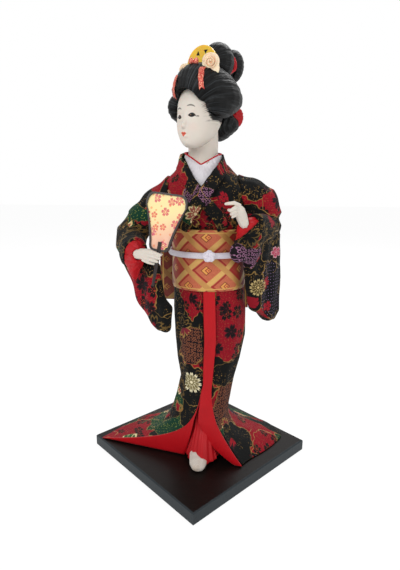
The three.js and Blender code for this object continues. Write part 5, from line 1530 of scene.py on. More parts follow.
knot_middle = on_figure(2.5, -10.0, 51.4) + np.array([0, 0, 0.3])
knot_steps = 240
turn = np.linspace(0, 2 * math.tau, knot_steps, endpoint=False)
knot_far = 2.1 + 0.95 * np.cos(2.5 * turn)
knot_route = np.column_stack([
    knot_far * np.sin(turn) * 1.08, 0.65 * np.sin(2.5 * turn) - 0.5, knot_far * np.cos(turn)]) + knot_middle
knot_rings = []
along_knot = np.concatenate([[0], np.cumsum(np.linalg.norm(np.diff(knot_route, axis=0), axis=1))])
for step, place in enumerate(knot_route):
    ahead = knot_route[(step + 1) % knot_steps] - knot_route[step - 1]
    ahead /= np.linalg.norm(ahead)
    side = np.cross(ahead, (0, -1, 0))
    side /= np.linalg.norm(side)
    out = np.cross(side, ahead)
    roll = np.linspace(0, math.tau, 12, endpoint=False)
    across, depth = 1.15 * np.cos(roll), 0.9 * np.sin(roll)
    raised = 0.14 * np.abs(np.sin(math.pi * (along_knot[step] + 0.9 * np.abs(across)) / 1.2))
    knot_rings.append(place + np.outer(across * (1 + raised), side) + np.outer(depth * (1 + raised), out))
knot = closed_tube("obi_cord_knot_braid", np.array(knot_rings) * MM, loop=True)
dress(knot, "figure", braid_finish, "obi_cord_knot")

# %% [markdown]
# Behind, the obi is folded into a flat drum with two long tails under it. Nobody sees them in the
# photograph, apart from one tail's edge, so they follow the usual way of tying it: the drum is
# stuffed and creased where the cord crosses it, and the tails hang as stiff sheets.

# %% Tails and drum
TAILS = {"right": ((-10.9, -0.2), (8.7, 9.7), (36.8, 58.5)), "left": ((2.4, 13.0), (8.9, 9.9), (34.6, 58.5))}


def tail_edge(x_shares):
    """A gold line just inside each long side of a tail."""
    low, high = (share * HUNDREDTH * MM for share in x_shares)

    def line():
        x, _, _ = parts_of(place_on_object())
        near_low = step_between(size_of(minus(x, low + 0.0022)), 0.0007, 0.0004)
        near_high = step_between(size_of(minus(x, high - 0.0022)), 0.0007, 0.0004)
        return larger(near_low, near_high)

    return line


for side, (x_shares, y_shares, z_shares) in TAILS.items():
    rows, places = [], []
    for part in np.linspace(1, 0, 60):
        share = np.linspace(0, 1, 60)
        x = (x_shares[0] + (x_shares[1] - x_shares[0]) * share) * HUNDREDTH
        wave = 0.25 * np.sin(share * math.tau) * (1 - part)
        y = (y_shares[0] - wave) * HUNDREDTH + 0.35 * np.sin(share * 9 + part * 4) * (1 - part)
        z = PLATE_TOP + (z_shares[0] + (z_shares[1] - z_shares[0]) * part) * HUNDREDTH
        rows.append(np.column_stack([x, y, np.full(60, z)]))
        places.append(np.column_stack([x * MM, np.full(60, z * MM)]))
    tail = thick_sheet("obi_tail_" + side + "_cloth", np.array(rows) * MM, 1.1 * MM, np.array(places))
    # The tails are the obi's own brocade painted darker towards brown: painted shade under the drum.
    tail_brocade = obi_finish("obi_brocade_tail_" + side, (linear(70, 40, 30), 0.45), tail_edge(x_shares))
    dress(tail, "figure", tail_brocade, "obi_tail_" + side)

drum = soften("obi_drum", "obi_drum_cloth", 0.7, 8)
points = points_of(drum)
place = points / MM
crease = -0.5 * np.exp(-((place[:, 2] - 162.7) / 2.2) ** 2) * rise(place[:, 1], 33, 36)
folds = 0.25 * np.sin(place[:, 0] * 0.5 + place[:, 2] * 0.35 + ripple(points, 40, 8))
move_points(drum, points + normals_of(drum) * ((crease + folds) * MM)[:, None])
lay_cloth(drum, points[:, 0], points[:, 2] + points[:, 1])
dress(drum, "figure", obi_finish("obi_brocade_drum"), "obi_drum")
print("obi, cord, knot, tails and drum made")

# %% [markdown]
# ## White skin
#
# Doll makers build the face and hands up in thin coats of powdered shell, and rub it smooth. It is
# matte, a little translucent and never quite even, so the finish has a soft cloudiness, the
# faintest orange-peel surface, and a little light passing under the surface.

# %% Skin
def skin_finish(name, paint=None):
    """Rubbed shell white; paint takes the white and gives the painted colour."""
    material, shader = new_finish(name, "white_skin", roughness=0.55, specular=0.25, subsurface=0.08)
    shader.inputs["Subsurface Scale"].default_value = 0.002
    place = place_on_object()
    cloud = cloudy(place, 90.0, 3.0)
    white = paint_over(cloud, linear(198, 189, 178), linear(213, 204, 193))
    colour = paint(white) if paint else white
    feed(shader.inputs["Base Color"], colour)
    feed(shader.inputs["Roughness"], times_plus(cloud, 0.15, 0.45))
    raise_surface(shader, cloudy(place, 1400.0, 2.0), 0.00006, 0.5)
    return material


hand_skin = skin_finish("white_skin_hands")
for side in ("right", "left"):
    hand = soften("hand_" + side, "hand_" + side + "_shell", 0.26, 5)
    dress(hand, "figure", hand_skin, "hand_" + side)
print("hands made")

# %% [markdown]
# ## The head
#
# The head is turned by 34 degrees and leans a little. Everything on it is made in the head's own
# frame, face to the front, and goes through one matrix at the end. The face is a smooth egg with
# shallow forms added to its front: sockets, the bridge and tip of the nose, the two lips, the
# cheeks and the chin, each a soft bump given by its place, its size and its height.

# %% Head frame
HEAD_TURN, HEAD_TILT = 34.0, 6.5
NECK_SHARES = (0.7, 0.4, 75.8)
neck_place = on_figure(*NECK_SHARES)
HEAD_MATRIX = (Matrix.Translation(Vector(neck_place)) @ Matrix.Rotation(math.radians(-HEAD_TURN), 4, "Z")
               @ Matrix.Rotation(math.radians(HEAD_TILT), 4, "Y"))


def on_head(points):
    """Points of the head's own frame, in shares of the figure, as places in millimetres."""
    points = np.asarray(points, float)
    local = points * HUNDREDTH
    local[..., 2] -= NECK_SHARES[2] * HUNDREDTH
    matrix = np.array(HEAD_MATRIX)
    return local @ matrix[:3, :3].T + matrix[:3, 3]


def in_head_frame(points_m):
    """Places in metres, as shares in the head's own frame."""
    matrix = np.array(HEAD_MATRIX)
    local = (np.asarray(points_m) / MM - matrix[:3, 3]) @ matrix[:3, :3]
    local[..., 2] += NECK_SHARES[2] * HUNDREDTH
    return local / HUNDREDTH


# %% Face
HEAD_ROWS = [
    [75.3, 0.4, -5.2, 1.0, 1.0], [75.8, 0.35, -4.9, 1.9, 2.1], [76.7, 0.25, -4.2, 2.95, 3.2],
    [78.1, 0.1, -3.4, 3.95, 4.3], [79.9, -0.1, -2.7, 4.6, 5.1], [82.2, -0.2, -2.1, 4.95, 5.6],
    [84.8, -0.35, -1.7, 5.1, 5.7], [87.2, -0.25, -1.5, 4.5, 5.1], [89.2, 0.0, -1.3, 2.8, 3.3],
    [89.9, 0.0, -1.3, 1.2, 1.4],
]
# Middles of the painted features, across and up, in shares of the figure
LEFT_EYE, RIGHT_EYE = (1.45, 81.95), (-1.85, 81.4)
LEFT_BROW, RIGHT_BROW = (1.0, 84.05), (-2.3, 83.35)
LIPS = (-0.05, 78.05)
EYE_HALF = 0.76
# Each form: middle x and height, half sizes across and up, and how far it stands out, in shares
FACE_FORMS = [
    (-0.15, 79.75, 0.5, 0.55, 0.5), (-0.05, 80.9, 0.36, 1.3, 0.26), (0.27, 79.45, 0.3, 0.3, 0.14),
    (-0.57, 79.45, 0.3, 0.3, 0.14), (*LEFT_EYE, 1.1, 0.8, -0.16), (*RIGHT_EYE, 1.1, 0.8, -0.16),
    (LEFT_EYE[0], LEFT_EYE[1] + 0.1, 0.8, 0.4, 0.12), (RIGHT_EYE[0], RIGHT_EYE[1] + 0.1, 0.8, 0.4, 0.12),
    (2.2, 79.2, 1.3, 1.3, 0.1), (-2.2, 79.2, 1.3, 1.3, 0.1), (0.1, 78.25, 0.6, 0.26, 0.2),
    (0.1, 77.65, 0.5, 0.28, 0.2), (0.1, 77.95, 0.8, 0.1, -0.06), (0.1, 77.1, 0.8, 0.3, -0.12),
    (0.3, 76.2, 0.9, 0.8, 0.16), (0.0, 84.9, 2.6, 0.8, 0.06),
]
head_levels = smooth_route(np.array(HEAD_ROWS), 150)
head_angles = np.linspace(0, math.tau, 168, endpoint=False)
face_rows = []
for height, lean, y, wide, deep in head_levels:
    x = wide * np.sin(head_angles)
    front = np.clip(np.cos(head_angles), 0, 1)
    out = sum(tall * np.exp(-((x - mx) / sx) ** 2 - ((height - mz) / sz) ** 2) for mx, mz, sx, sz,
        tall in FACE_FORMS)
    narrow = 1 - 0.05 * front ** 2
    face_rows.append(np.column_stack([lean + x * narrow,
        y - deep * np.cos(head_angles) - out * (front > 0) * front ** 0.3,
                                      np.full(len(x), height)]))
face_rows = np.array(face_rows)
face_shell = closed_tube("face_shell", on_head(face_rows) * MM)
flat_face = face_rows.reshape(-1, 3)
hairline = 4.6 - 0.333 * (flat_face[:, 2] - 81.3)
beyond = np.where(flat_face[:, 1] < -2.1, flat_face[:, 0] - hairline, 0.4 + flat_face[:, 1] + 2.1)
temple = np.where(flat_face[:, 0] > 0, np.minimum(flat_face[:, 2] - 81.5, beyond), -9.0)
lay_cloth(face_shell, flat_face[:, 0], flat_face[:, 2], temple)


def face_paint(white):
    """Brows, eyes, lips, a breath of colour on the cheeks, and the fine strokes at the hairline."""
    place = lit("cloth")
    x, z, temple = parts_of(place)
    on_left = calc("GREATER_THAN", x, (LEFT_EYE[0] + RIGHT_EYE[0]) / 2)
    outward = times_plus(on_left, 2.0, -1.0)

    def from_middle(left, right):
        """Distances outwards and upwards from a feature's middle, on whichever side it is."""
        middle_x = times_plus(on_left, left[0] - right[0], right[0])
        middle_z = times_plus(on_left, left[1] - right[1], right[1])
        return times(minus(x, middle_x), outward), minus(z, middle_z)

    def far_from(across, up, half_x, half_z):
        """How far a place lies from a middle, in half sizes."""
        a, b = divided(across, half_x), divided(up, half_z)
        return calc("SQRT", plus(times(a, a), times(b, b)))

    eye_x, eye_z = from_middle(LEFT_EYE, RIGHT_EYE)
    blush = far_from(minus(eye_x, 0.5), plus(eye_z, 2.3), 1.7, 1.5)
    colour = paint_over(times(step_between(blush, 1.0, 0.0), 0.22), white, linear(222, 186, 172))
    under_nose = far_from(plus(x, 0.02), minus(z, 79.15), 0.75, 0.26)
    beside_nose = far_from(minus(x, 0.42), minus(z, 80.1), 0.34, 1.1)
    nose_shade = larger(times(step_between(under_nose, 1.0, 0.1), 0.5),
        times(step_between(beside_nose, 1.0, 0.0), 0.3))
    colour = paint_over(nose_shade, colour, linear(168, 148, 138))
    lid_shade = far_from(eye_x, minus(eye_z, 0.75), 1.4, 0.6)
    colour = paint_over(times(step_between(lid_shade, 1.0, 0.2), 0.22), colour, linear(200, 170, 158))
    across = divided(eye_x, EYE_HALF)
    bow = minus(1.0, times(across, across))
    slant = times(across, 0.06)
    upper = times_plus(bow, 0.46, slant)
    lower = times_plus(bow, -0.34, slant)
    open_eye = times(step_between(minus(upper, eye_z), -0.04, 0.04),
                    step_between(minus(eye_z, lower), -0.04, 0.04))
    open_eye = times(open_eye, step_between(bow, 0.0, 0.06))
    colour = paint_over(open_eye, colour, linear(120, 96, 84))
    iris = far_from(eye_x, minus(eye_z, 0.06), 1.0, 1.0)
    colour = paint_over(times(step_between(iris, 0.68, 0.58), open_eye), colour, linear(30, 20, 17))
    colour = paint_over(times(step_between(iris, 0.34, 0.26), open_eye), colour, linear(8, 7, 8))
    glint = far_from(plus(eye_x, 0.2), minus(eye_z, 0.12), 0.12, 0.1)
    colour = paint_over(times(step_between(glint, 1.0, 0.6), open_eye), colour, linear(150, 110, 80))
    lid = step_between(size_of(minus(eye_z, upper)), 0.15, 0.07)
    lid_reach = step_between(size_of(minus(across, 0.1)), 1.2, 1.05)
    colour = paint_over(times(lid, lid_reach), colour, linear(16, 12, 12))
    tick = far_from(minus(eye_x, EYE_HALF + 0.42), plus(eye_z, 0.02), 0.3, 0.16)
    colour = paint_over(times(step_between(tick, 1.0, 0.5), 0.9), colour, linear(30, 24, 24))
    brow_x, brow_z = from_middle(LEFT_BROW, RIGHT_BROW)
    brow_share = divided(brow_x, 0.95)
    brow_bow = times(brow_share, brow_share)
    brow_away = size_of(minus(brow_z, times(brow_bow, -0.3)))
    brow_half = times_plus(brow_bow, -0.1, 0.16)
    brow = step_between(divided(brow_away, brow_half), 1.5, 0.5)
    brow = times(brow, step_between(size_of(brow_share), 1.05, 0.85))
    colour = paint_over(times(brow, 0.8), colour, linear(44, 40, 38))
    lip_x = minus(x, LIPS[0])
    lip_z = minus(z, LIPS[1])
    lip_share = divided(lip_x, 0.8)
    lip_round = minus(1.0, times(lip_share, lip_share))
    dip = step_between(size_of(lip_x), 0.3, 0.0)
    lip_top = plus(times_plus(lip_round, 0.3, 0.16), times(dip, -0.16))
    lip_low = times_plus(times(lip_round, lip_round), -0.7, 0.12)
    lips = times(step_between(minus(lip_top, lip_z), -0.04, 0.05),
                step_between(minus(lip_z, lip_low), -0.04, 0.05))
    lips = times(lips, step_between(lip_round, 0.0, 0.1))
    colour = paint_over(times(lips, 0.92), colour, linear(206, 74, 44))
    parting = step_between(size_of(minus(lip_z, 0.02)), 0.08, 0.03)
    colour = paint_over(times(parting, times(lips, 0.7)), colour, linear(140, 40, 28))
    across_stroke = minus(times(x, 0.6), times(z, 0.8))
    along_stroke = plus(times(x, 0.8), times(z, 0.6))
    stroke = cloudy(vector_of(times(across_stroke, 7.0), times(along_stroke, 0.8)),
                    1.0, 2.0, 0.6)
    edge = times_plus(minus(stroke, 0.5), 1.0, temple)
    painted_hair = step_between(edge, -0.12, 0.06)
    wisps = times(step_between(temple, -1.1, -0.1), step_between(stroke, 0.54, 0.64))
    colour = paint_over(times(wisps, 0.7), colour, linear(52, 50, 52))
    return paint_over(painted_hair, colour, linear(14, 14, 15))


face_skin = skin_finish("white_skin_face", face_paint)

# %% Neck
NECK_ROWS = [[68.2, 3.07], [69.4, 3.2], [70.8, 3.65], [72.2, 3.65], [74.0, 3.5], [75.8, 3.5], [78.0, 3.5],
    [80.0, 3.4]]
neck_angles = np.linspace(0, math.tau, 72, endpoint=False)
neck_rings = []
for height, radius in smooth_route(np.array(NECK_ROWS), 60):
    middle = on_figure(NECK_SHARES[0], NECK_SHARES[1], height)
    neck_rings.append(middle + HUNDREDTH * radius * np.column_stack([
        np.sin(neck_angles), -np.cos(neck_angles) * 0.97, np.zeros(len(neck_angles))]))
neck_shell = closed_tube("neck_shell", np.array(neck_rings) * MM)
dress(face_shell, "head", face_skin, "head")
neck_skin = skin_finish("white_skin_neck")
dress(neck_shell, "head", neck_skin, "head")
print("face", len(face_shell.data.vertices), "points")

# %% [markdown]
# ## Hair
#
# The hair is real silk hair, waxed and combed over a form into one smooth helmet, with a roll at
# the nape and a bun in two lobes. Two things make it read as hair: the mass is a single swept
# surface, and every surface carries the comb's fine furrows, all running the same way. The
# furrows are cut into the shape itself and continued, finer, in the finish.

# %% Hair finish
hair_paint, hair_shader = new_finish("combed_black_hair", "black_hair", roughness=0.4, specular=0.15)
strand_place = lit("cloth")
strands = cloudy(turn_vector("MULTIPLY", strand_place, (3200.0, 60.0, 1.0)), 1.0, 3.0, 0.6)
wide_strands = cloudy(turn_vector("MULTIPLY", strand_place, (700.0, 25.0, 1.0)), 1.0, 2.0)
hair_colour = paint_over(strands, linear(3, 3, 4), linear(9, 10, 10))
# Pale grey streaks along the strands are painted highlight, where the combed silk catches the light.
strand_highlights = times(step_between(wide_strands, 0.5, 0.66), step_between(strands, 0.42, 0.62))
hair_colour = paint_over(strand_highlights, hair_colour, linear(58, 62, 65))
feed(hair_shader.inputs["Base Color"], hair_colour)
feed(hair_shader.inputs["Roughness"], times_plus(strands, 0.3, 0.28))
raise_surface(hair_shader, times_plus(wide_strands, 0.6, strands), 0.0003, 0.75)


# two directions in the head's own frame: to the right, and towards someone who stands before the doll
SEEN_RIGHT = np.array([0.83, 0.56, 0.0])
SEEN_NEAR = np.array([0.56, -0.83, 0.0])
MATRIX_3 = np.array(HEAD_MATRIX)[:3, :3]


def comb_hair(nodes, name, middle, net=0.55, rounds=8, push=0.0, furrows=(46, 101), deep=0.2, upright=False,
              reach=0.0):
    """Hair over CAD solids, with furrows that turn about a line through a middle in the head frame.

    The reach draws the near side of a roll out to the right, by a share of its distance there.
    """
    made = soften(nodes, name, net, rounds, push=push)
    points = points_of(made)
    if reach:
        from_roll = in_head_frame(points) - np.array(middle)
        beyond = np.clip(from_roll @ SEEN_RIGHT, 0, None) * rise(from_roll @ SEEN_NEAR, -1.0, 1.0) * reach
        beyond = beyond * rise(from_roll[:, 2], -2.6, 0.4)
        points = points + (beyond * HUNDREDTH)[:, None] * (MATRIX_3 @ SEEN_RIGHT) * MM
    local = in_head_frame(points) - np.array(middle)
    if upright:
        turn = local[:, 0] / 4.2
        along = np.arctan2(local[:, 1], -local[:, 2]) * 4.0
    else:
        turn = np.arctan2(local[:, 0], local[:, 2])
        along = local[:, 1]
    bend = turn + 0.03 * ripple(points, 22, len(name))
    furrow = 0.6 * np.sin(bend * furrows[0]) + 0.4 * np.sin(bend * furrows[1] + 1.3)
    move_points(made, points + normals_of(made) * (deep * furrow * MM)[:, None])
    lay_cloth(made, bend * 20 * MM, along * 3 * MM)
    dress(made, "head", hair_paint, *([nodes] if isinstance(nodes, str) else nodes))
    return made


helmet = comb_hair(["hair_cap", "hair_wing_right", "hair_wing_left"], "hair_helmet", (0, 0, 83.0),
    rounds=14, push=0.2)
nape_roll = comb_hair("hair_nape_roll", "hair_nape_roll_combed", (-0.8, 5.6, 81.3), furrows=(30, 71),
    upright=True, reach=0.3)
bun_front = comb_hair("hair_bun_front", "hair_bun_front_combed", (0.5, 1.9, 93.4), furrows=(22, 47),
    deep=0.15, rounds=6)
bun_rear = comb_hair("hair_bun_rear", "hair_bun_rear_combed", (-0.6, 9.5, 94.4), furrows=(22, 47),
    deep=0.15, rounds=6)
print("hair:", sum(len(o.data.vertices) for o in (helmet, nape_roll, bun_front, bun_rear)), "points")

# %% [markdown]
# ## Ornaments
#
# A yellow comb stands in the front of the hair, with dark inlays in its cut-outs that stand for the hair
# behind. Beside it sit two cream silk roses, and a small bow and two narrow ribbons with forked ends, of
# glittering red paper cloth. A crinkled red band shows behind the ear, and a ribbon ties the waist of the
# bun.

# %% Comb
amber, amber_shader = new_finish(
    "amber_comb", "amber_comb", roughness=0.28, specular=0.5, coat=0.3, coat_roughness=0.15, subsurface=0.25)
amber_shader.inputs["Subsurface Scale"].default_value = 0.003
amber_place = place_on_object()
amber_cloud = cloudy(amber_place, 130.0, 4.0)
feed(amber_shader.inputs["Base Color"], paint_over(amber_cloud, linear(204, 152, 4), linear(236, 200, 30)))
raise_surface(amber_shader, cloudy(amber_place, 500.0), 0.0001, 0.3)
COMB_RADIUS, COMB_BASE, COMB_Y, COMB_THICK, COMB_X = 4.0, 92.8, -2.8, 1.6, -0.35
COMB_HOLES = [(-0.62, 0.22), (-0.3, 0.56), (0.2, 0.68), (0.55, 0.3)]


def comb_shape():
    """The comb as a filled outline with cut-outs, extruded and rounded at its edges."""
    outline = bpy.data.curves.new("comb_outline", "CURVE")
    outline.dimensions = "2D"
    outline.fill_mode = "BOTH"
    drop = math.radians(28)
    bow = [(COMB_RADIUS * math.cos(a), COMB_RADIUS * math.sin(a)) for a in np.linspace(-drop,
        math.pi + drop, 60)]
    loops = [bow]
    for index, (x, z) in enumerate(COMB_HOLES):
        start = math.pi / 2 if index % 2 else -math.pi / 2
        corners = [(x * COMB_RADIUS + 0.57 * math.cos(start + k * math.tau / 3),
                    z * COMB_RADIUS + 0.57 * math.sin(start + k * math.tau / 3)) for k in range(3)]
        loops.append(corners)
    for loop in loops:
        spline = outline.splines.new("POLY")
        spline.points.add(len(loop) - 1)
        for point, (x, z) in zip(spline.points, loop):
            point.co = (x, z, 0, 1)
        spline.use_cyclic_u = True
    outline.extrude = COMB_THICK / 2 / HUNDREDTH - 0.08
    outline.bevel_depth = 0.08
    outline.bevel_resolution = 2
    outline.offset = -0.08
    holder = bpy.data.objects.new("comb_outline", outline)
    bpy.context.scene.collection.objects.link(holder)
    mesh = bpy.data.meshes.new_from_object(holder.evaluated_get(bpy.context.evaluated_depsgraph_get()))
    bpy.data.objects.remove(holder)
    closed = bmesh.new()
    closed.from_mesh(mesh)
    bmesh.ops.remove_doubles(closed, verts=closed.verts, dist=0.002)
    bmesh.ops.recalc_face_normals(closed, faces=closed.faces)
    closed.to_mesh(mesh)
    open_edges = sum(1 for edge in closed.edges if not edge.is_manifold)
    closed.free()
    return mesh, open_edges


def join_pieces(parts, name):
    """Several pieces as one object."""
    whole = bmesh.new()
    for part in parts:
        whole.from_mesh(part.data)
        bpy.data.objects.remove(part)
    mesh = bpy.data.meshes.new(name)
    whole.to_mesh(mesh)
    whole.free()
    mesh.polygons.foreach_set("use_smooth", np.ones(len(mesh.polygons), bool))
    made = bpy.data.objects.new(name, mesh)
    bpy.context.scene.collection.objects.link(made)
    return made


comb_mesh, comb_open = comb_shape()
comb_piece = bpy.data.objects.new("comb_carved", comb_mesh)
bpy.context.scene.collection.objects.link(comb_piece)
local = points_of(comb_piece)
move_points(comb_piece, on_head(np.column_stack([COMB_X + local[:, 0], COMB_Y + local[:, 2],
    COMB_BASE + local[:, 1]])) * MM)
dress(comb_piece, "head", amber, "comb")
inlay_parts = []
for index, (x, z) in enumerate(COMB_HOLES):
    start = math.pi / 2 if index % 2 else -math.pi / 2
    rings = []
    for depth, grow in ((-0.24, 0.5), (-0.22, 0.62), (0.22, 0.62), (0.24, 0.5)):
        turn = start + np.arange(3) * math.tau / 3
        rings.append(np.column_stack([COMB_X + x * COMB_RADIUS + grow * np.cos(turn),
            np.full(3, COMB_Y + depth),
                                      COMB_BASE + z * COMB_RADIUS + grow * np.sin(turn)]))
    inlay_parts.append(closed_tube("comb_inlay", on_head(np.array(rings)) * MM))
comb_inlays = join_pieces(inlay_parts, "comb_dark_inlays")
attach(comb_inlays, "head")
comb_inlays.data.materials.append(hair_paint)
print("comb open edges:", comb_open)

# %% Silk roses
petal_finish, petal_shader = new_finish(
    "cream_petals", "cream_petals", roughness=0.7, specular=0.25, sheen=0.35, subsurface=0.12)
petal_shader.inputs["Subsurface Scale"].default_value = 0.002
petal_place = place_on_object()
petal_cloud = cloudy(petal_place, 260.0, 3.0)
petal_fine = cloudy(petal_place, 2400.0, 2.0)
near_lip, _, _ = parts_of(lit("cloth"))
petal_tone = paint_over(petal_cloud, linear(236, 204, 168), linear(246, 228, 202))
# The cream is painted darker towards each petal's base: painted shade deep in the folds.
feed(petal_shader.inputs["Base Color"],
    paint_over(step_between(near_lip, 0.7, 0.05), petal_tone, linear(222, 178, 142)))
raise_surface(petal_shader, petal_fine, 0.0002, 0.5)


def rose_of(name, middle_shares, radius, facing, pointed=None):
    """A silk rose: one long strip rolled in a widening spiral, with wide petals behind it.

    The radius is in millimetres, and facing turns the rose from the head's front to its left, in
    radians. Each place keeps how near the lip it lies, for the shade painted deep in each fold.
    """
    sheets = []
    turns = np.linspace(0, 2.5 * math.tau, 190)
    part = turns / turns[-1]
    roll = radius * (0.05 + 0.8 * part ** 1.15) * (1 + 0.09 * np.sin(turns * 1.35 + 1))
    lip = np.linspace(0, 1, 9)[:, None]
    flare = roll * (1 + 0.1 * lip ** 2) + radius * 0.07 * lip ** 3
    rises = radius * (0.1 + 0.62 * lip * (1 - 0.62 * part) + 0.03 * np.sin(turns * 2.1))
    sheets.append((np.stack([flare * np.cos(turns), -rises, flare * np.sin(turns)], 2), lip + 0 * roll))
    heart_turn = np.linspace(0, math.tau, 40)
    heart_far = radius * 0.5 * np.linspace(0.02, 1, 8)[:, None]
    sheets.append((np.stack([heart_far * np.cos(heart_turn), -0.3 * radius + 0 * heart_far * heart_turn,
                             heart_far * np.sin(heart_turn)], 2), 0.3 + 0 * heart_far * heart_turn))
    across = np.linspace(-1, 1, 25)[None, :]
    out = np.linspace(0, 1, 15)[:, None]
    for petal in range(4):
        angle = petal / 4 * math.tau + 0.5
        turn = angle + across * 1.05 * (1 - 0.12 * out)
        far = radius * (0.4 + 0.66 * out * (1 - 0.1 * across ** 4)) * (1 + 0.05 * across)
        if pointed is not None:
            away = np.abs((turn - pointed + math.pi) % math.tau - math.pi)
            far = far * (1 + 0.46 * out ** 2 * np.clip(1 - away / 0.6, 0, 1))
        curl = -0.16 - 0.12 * out + 0.26 * out ** 4 - 0.03 * across * (1 + 0 * out)
        sheets.append((np.stack([far * np.cos(turn), radius * curl + 0 * far, far * np.sin(turn)], 2),
            out + 0 * turn))
    parts = []
    for index, (grid, near_lip) in enumerate(sheets):
        sideways, outward, up = grid[..., 0], -grid[..., 1], grid[..., 2]
        turned = np.stack([sideways * math.cos(facing) + outward * math.sin(facing),
                           sideways * math.sin(facing) - outward * math.cos(facing), up], 2)
        shares = np.array(middle_shares) + turned / HUNDREDTH
        kept = np.stack([near_lip, near_lip], 2)
        parts.append(thick_sheet(f"{name}_{index}", on_head(shares) * MM, 0.24 * MM, kept))
    return join_pieces(parts, name)


rose_left = rose_of("rose_left_petals", (3.62, -5.1, 92.75), 5.2, math.radians(28), pointed=math.radians(-50))
dress(rose_left, "head", petal_finish, "rose_left")
rose_right = rose_of("rose_right_petals", (-2.9, -5.5, 91.2), 4.2, math.radians(-14))
dress(rose_right, "head", petal_finish, "rose_right")

# %% Bow, ribbons and bands
glitter, glitter_shader = new_finish("glitter_ribbon", "glitter_ribbon", roughness=0.5, specular=0.5)
glitter_place = place_on_object()
spark_cells = new_node("TexVoronoi")
feed(spark_cells.inputs["Vector"], glitter_place)
feed(spark_cells.inputs["Scale"], 2600.0)
spark_pick, spark_tilt, _ = parts_of(spark_cells.outputs["Color"])
spark = step_between(spark_pick, 0.62, 0.7)
glitter_colour = paint_over(spark_tilt, linear(158, 34, 30), linear(206, 66, 50))
glitter_colour = paint_over(times(spark, 0.7), glitter_colour, linear(240, 168, 140))
feed(glitter_shader.inputs["Base Color"], glitter_colour)
feed(glitter_shader.inputs["Roughness"], times_plus(spark_tilt, 0.4, 0.2))
feed(glitter_shader.inputs["Metallic"], times(spark, 0.7))
raise_surface(glitter_shader, spark_tilt, 0.0003, 0.8)

bow_middle = np.array([-0.2, -6.1, 92.8])
bow_parts = []
for direction in (-1, 1):
    rings = []
    for part in np.linspace(0.02, 0.98, 24):
        swell = math.sin(part * math.pi) ** 0.7
        middle = bow_middle + np.array([direction * part * 1.35, -0.1 * swell, 0.12 * math.sin(part * 3)])
        roll = np.linspace(0, math.tau, 20, endpoint=False)
        pinch = 1 + 0.12 * np.cos(roll * 5)
        rings.append(middle + np.column_stack([
            np.zeros(20), 0.34 * swell * pinch * np.cos(roll), (0.12 + 0.55 * swell) * pinch * np.sin(roll)]))
    bow_parts.append(closed_tube("bow_loop", on_head(rings) * MM))
knot_rings = []
for part in np.linspace(-1, 1, 12):
    roll = np.linspace(0, math.tau, 16, endpoint=False)
    swell = math.sqrt(max(1 - part ** 2, 0.04))
    knot_rings.append(bow_middle + np.column_stack([
        0.34 * swell * np.cos(roll), -0.12 + 0.42 * swell * np.sin(roll) * 0.9, np.full(16, 0.42 * part)]))
bow_parts.append(closed_tube("bow_knot", on_head(knot_rings) * MM))
bow = join_pieces(bow_parts, "hair_bow_tied")
dress(bow, "head", glitter, "hair_bow")

helmet_tree = BVHTree.FromObject(helmet, bpy.context.evaluated_depsgraph_get())


def lie_on_hair(x, z, lift):
    """The place in millimetres where a point seen from the face's front lies on the hair."""
    start = on_head([x, -14.0, z])
    way = MATRIX_3 @ np.array([0.0, 1.0, 0.0])
    found, _, _, _ = helmet_tree.ray_cast(Vector(start * MM), Vector(way), 0.06)
    place = np.array(found) / MM if found else on_head([x, -6.0, z])
    return place - way * lift


RIBBON_LENGTH, RIBBON_WIDTH = 4.67, 0.95
RIBBONS = {"left": ((2.8, 91.5), 14.0), "right": ((-3.1, 89.9), -15.0)}
ribbons = {}
for side, ((top_x, top_z), slant) in RIBBONS.items():
    grid = []
    lean = math.radians(slant)
    for part in np.linspace(0, 1, 40):
        row = []
        for share in np.linspace(-0.5, 0.5, 13):
            fork = 0.75 * max(0.0, part - 0.86) * RIBBON_LENGTH * (1 - abs(share) * 2)
            length = RIBBON_LENGTH * part - fork
            x = top_x + math.sin(lean) * length + RIBBON_WIDTH * share * math.cos(lean)
            z = top_z - math.cos(lean) * length + RIBBON_WIDTH * share * math.sin(lean)
            row.append(lie_on_hair(x, z, 0.75 + 0.18 * math.sin(part * 9 + share * 2)))
        grid.append(row)
    ribbon = thick_sheet("hair_ribbon_" + side + "_cloth", np.array(grid) * MM, 0.35 * MM)
    ribbons[side] = dress(ribbon, "head", glitter, "hair_ribbon_" + side)

bun_ribbon = soften("bun_ribbon", "bun_ribbon_cloth", 0.3, 4, push=0.1)
points = points_of(bun_ribbon)
local = in_head_frame(points)
ridges = 0.14 * np.sin(local[:, 1] * 14 + 2 * np.arctan2(local[:, 0], local[:, 2] - 94.3))
low = rise(93.9 - local[:, 2], 0.0, 2.0) * rise(local @ SEEN_NEAR, -6.5, -3.5)
spread = (low * HUNDREDTH)[:, None] * (MATRIX_3 @ (3.3 * SEEN_NEAR - 1.3 * SEEN_RIGHT)) * MM
move_points(bun_ribbon, points + spread + normals_of(bun_ribbon) * (ridges * MM)[:, None])
dress(bun_ribbon, "head", red_satin, "bun_ribbon")

nape_band = soften("nape_band", "nape_band_crepe", 0.4, 4, push=0.1)
points = points_of(nape_band)
local = in_head_frame(points)
near = (local - np.array([0.9, 6.8, 83.5])) @ SEEN_NEAR
sunk = np.where(near > 0, 0.66 * near, 0.0)
points = points - (sunk * HUNDREDTH)[:, None] * (MATRIX_3 @ SEEN_NEAR) * MM
crinkle_band = 0.16 * np.sin(local[:, 2] * 9 + 1.5 * ripple(points, 6, 9)) + 0.08 * ripple(points, 2.6, 10)
move_points(nape_band, points + normals_of(nape_band) * (crinkle_band * MM)[:, None])
dress(nape_band, "head", red_satin, "nape_band")
print("ornaments made")

# %% [markdown]
# ## Fan
#
# A small stiff fan with a lacquered rim. Its leaf fades from cream to pink under a plain pattern of
# scattered blossoms and petals, and its foot, where the handle enters, is painted dark with a
# scalloped edge.

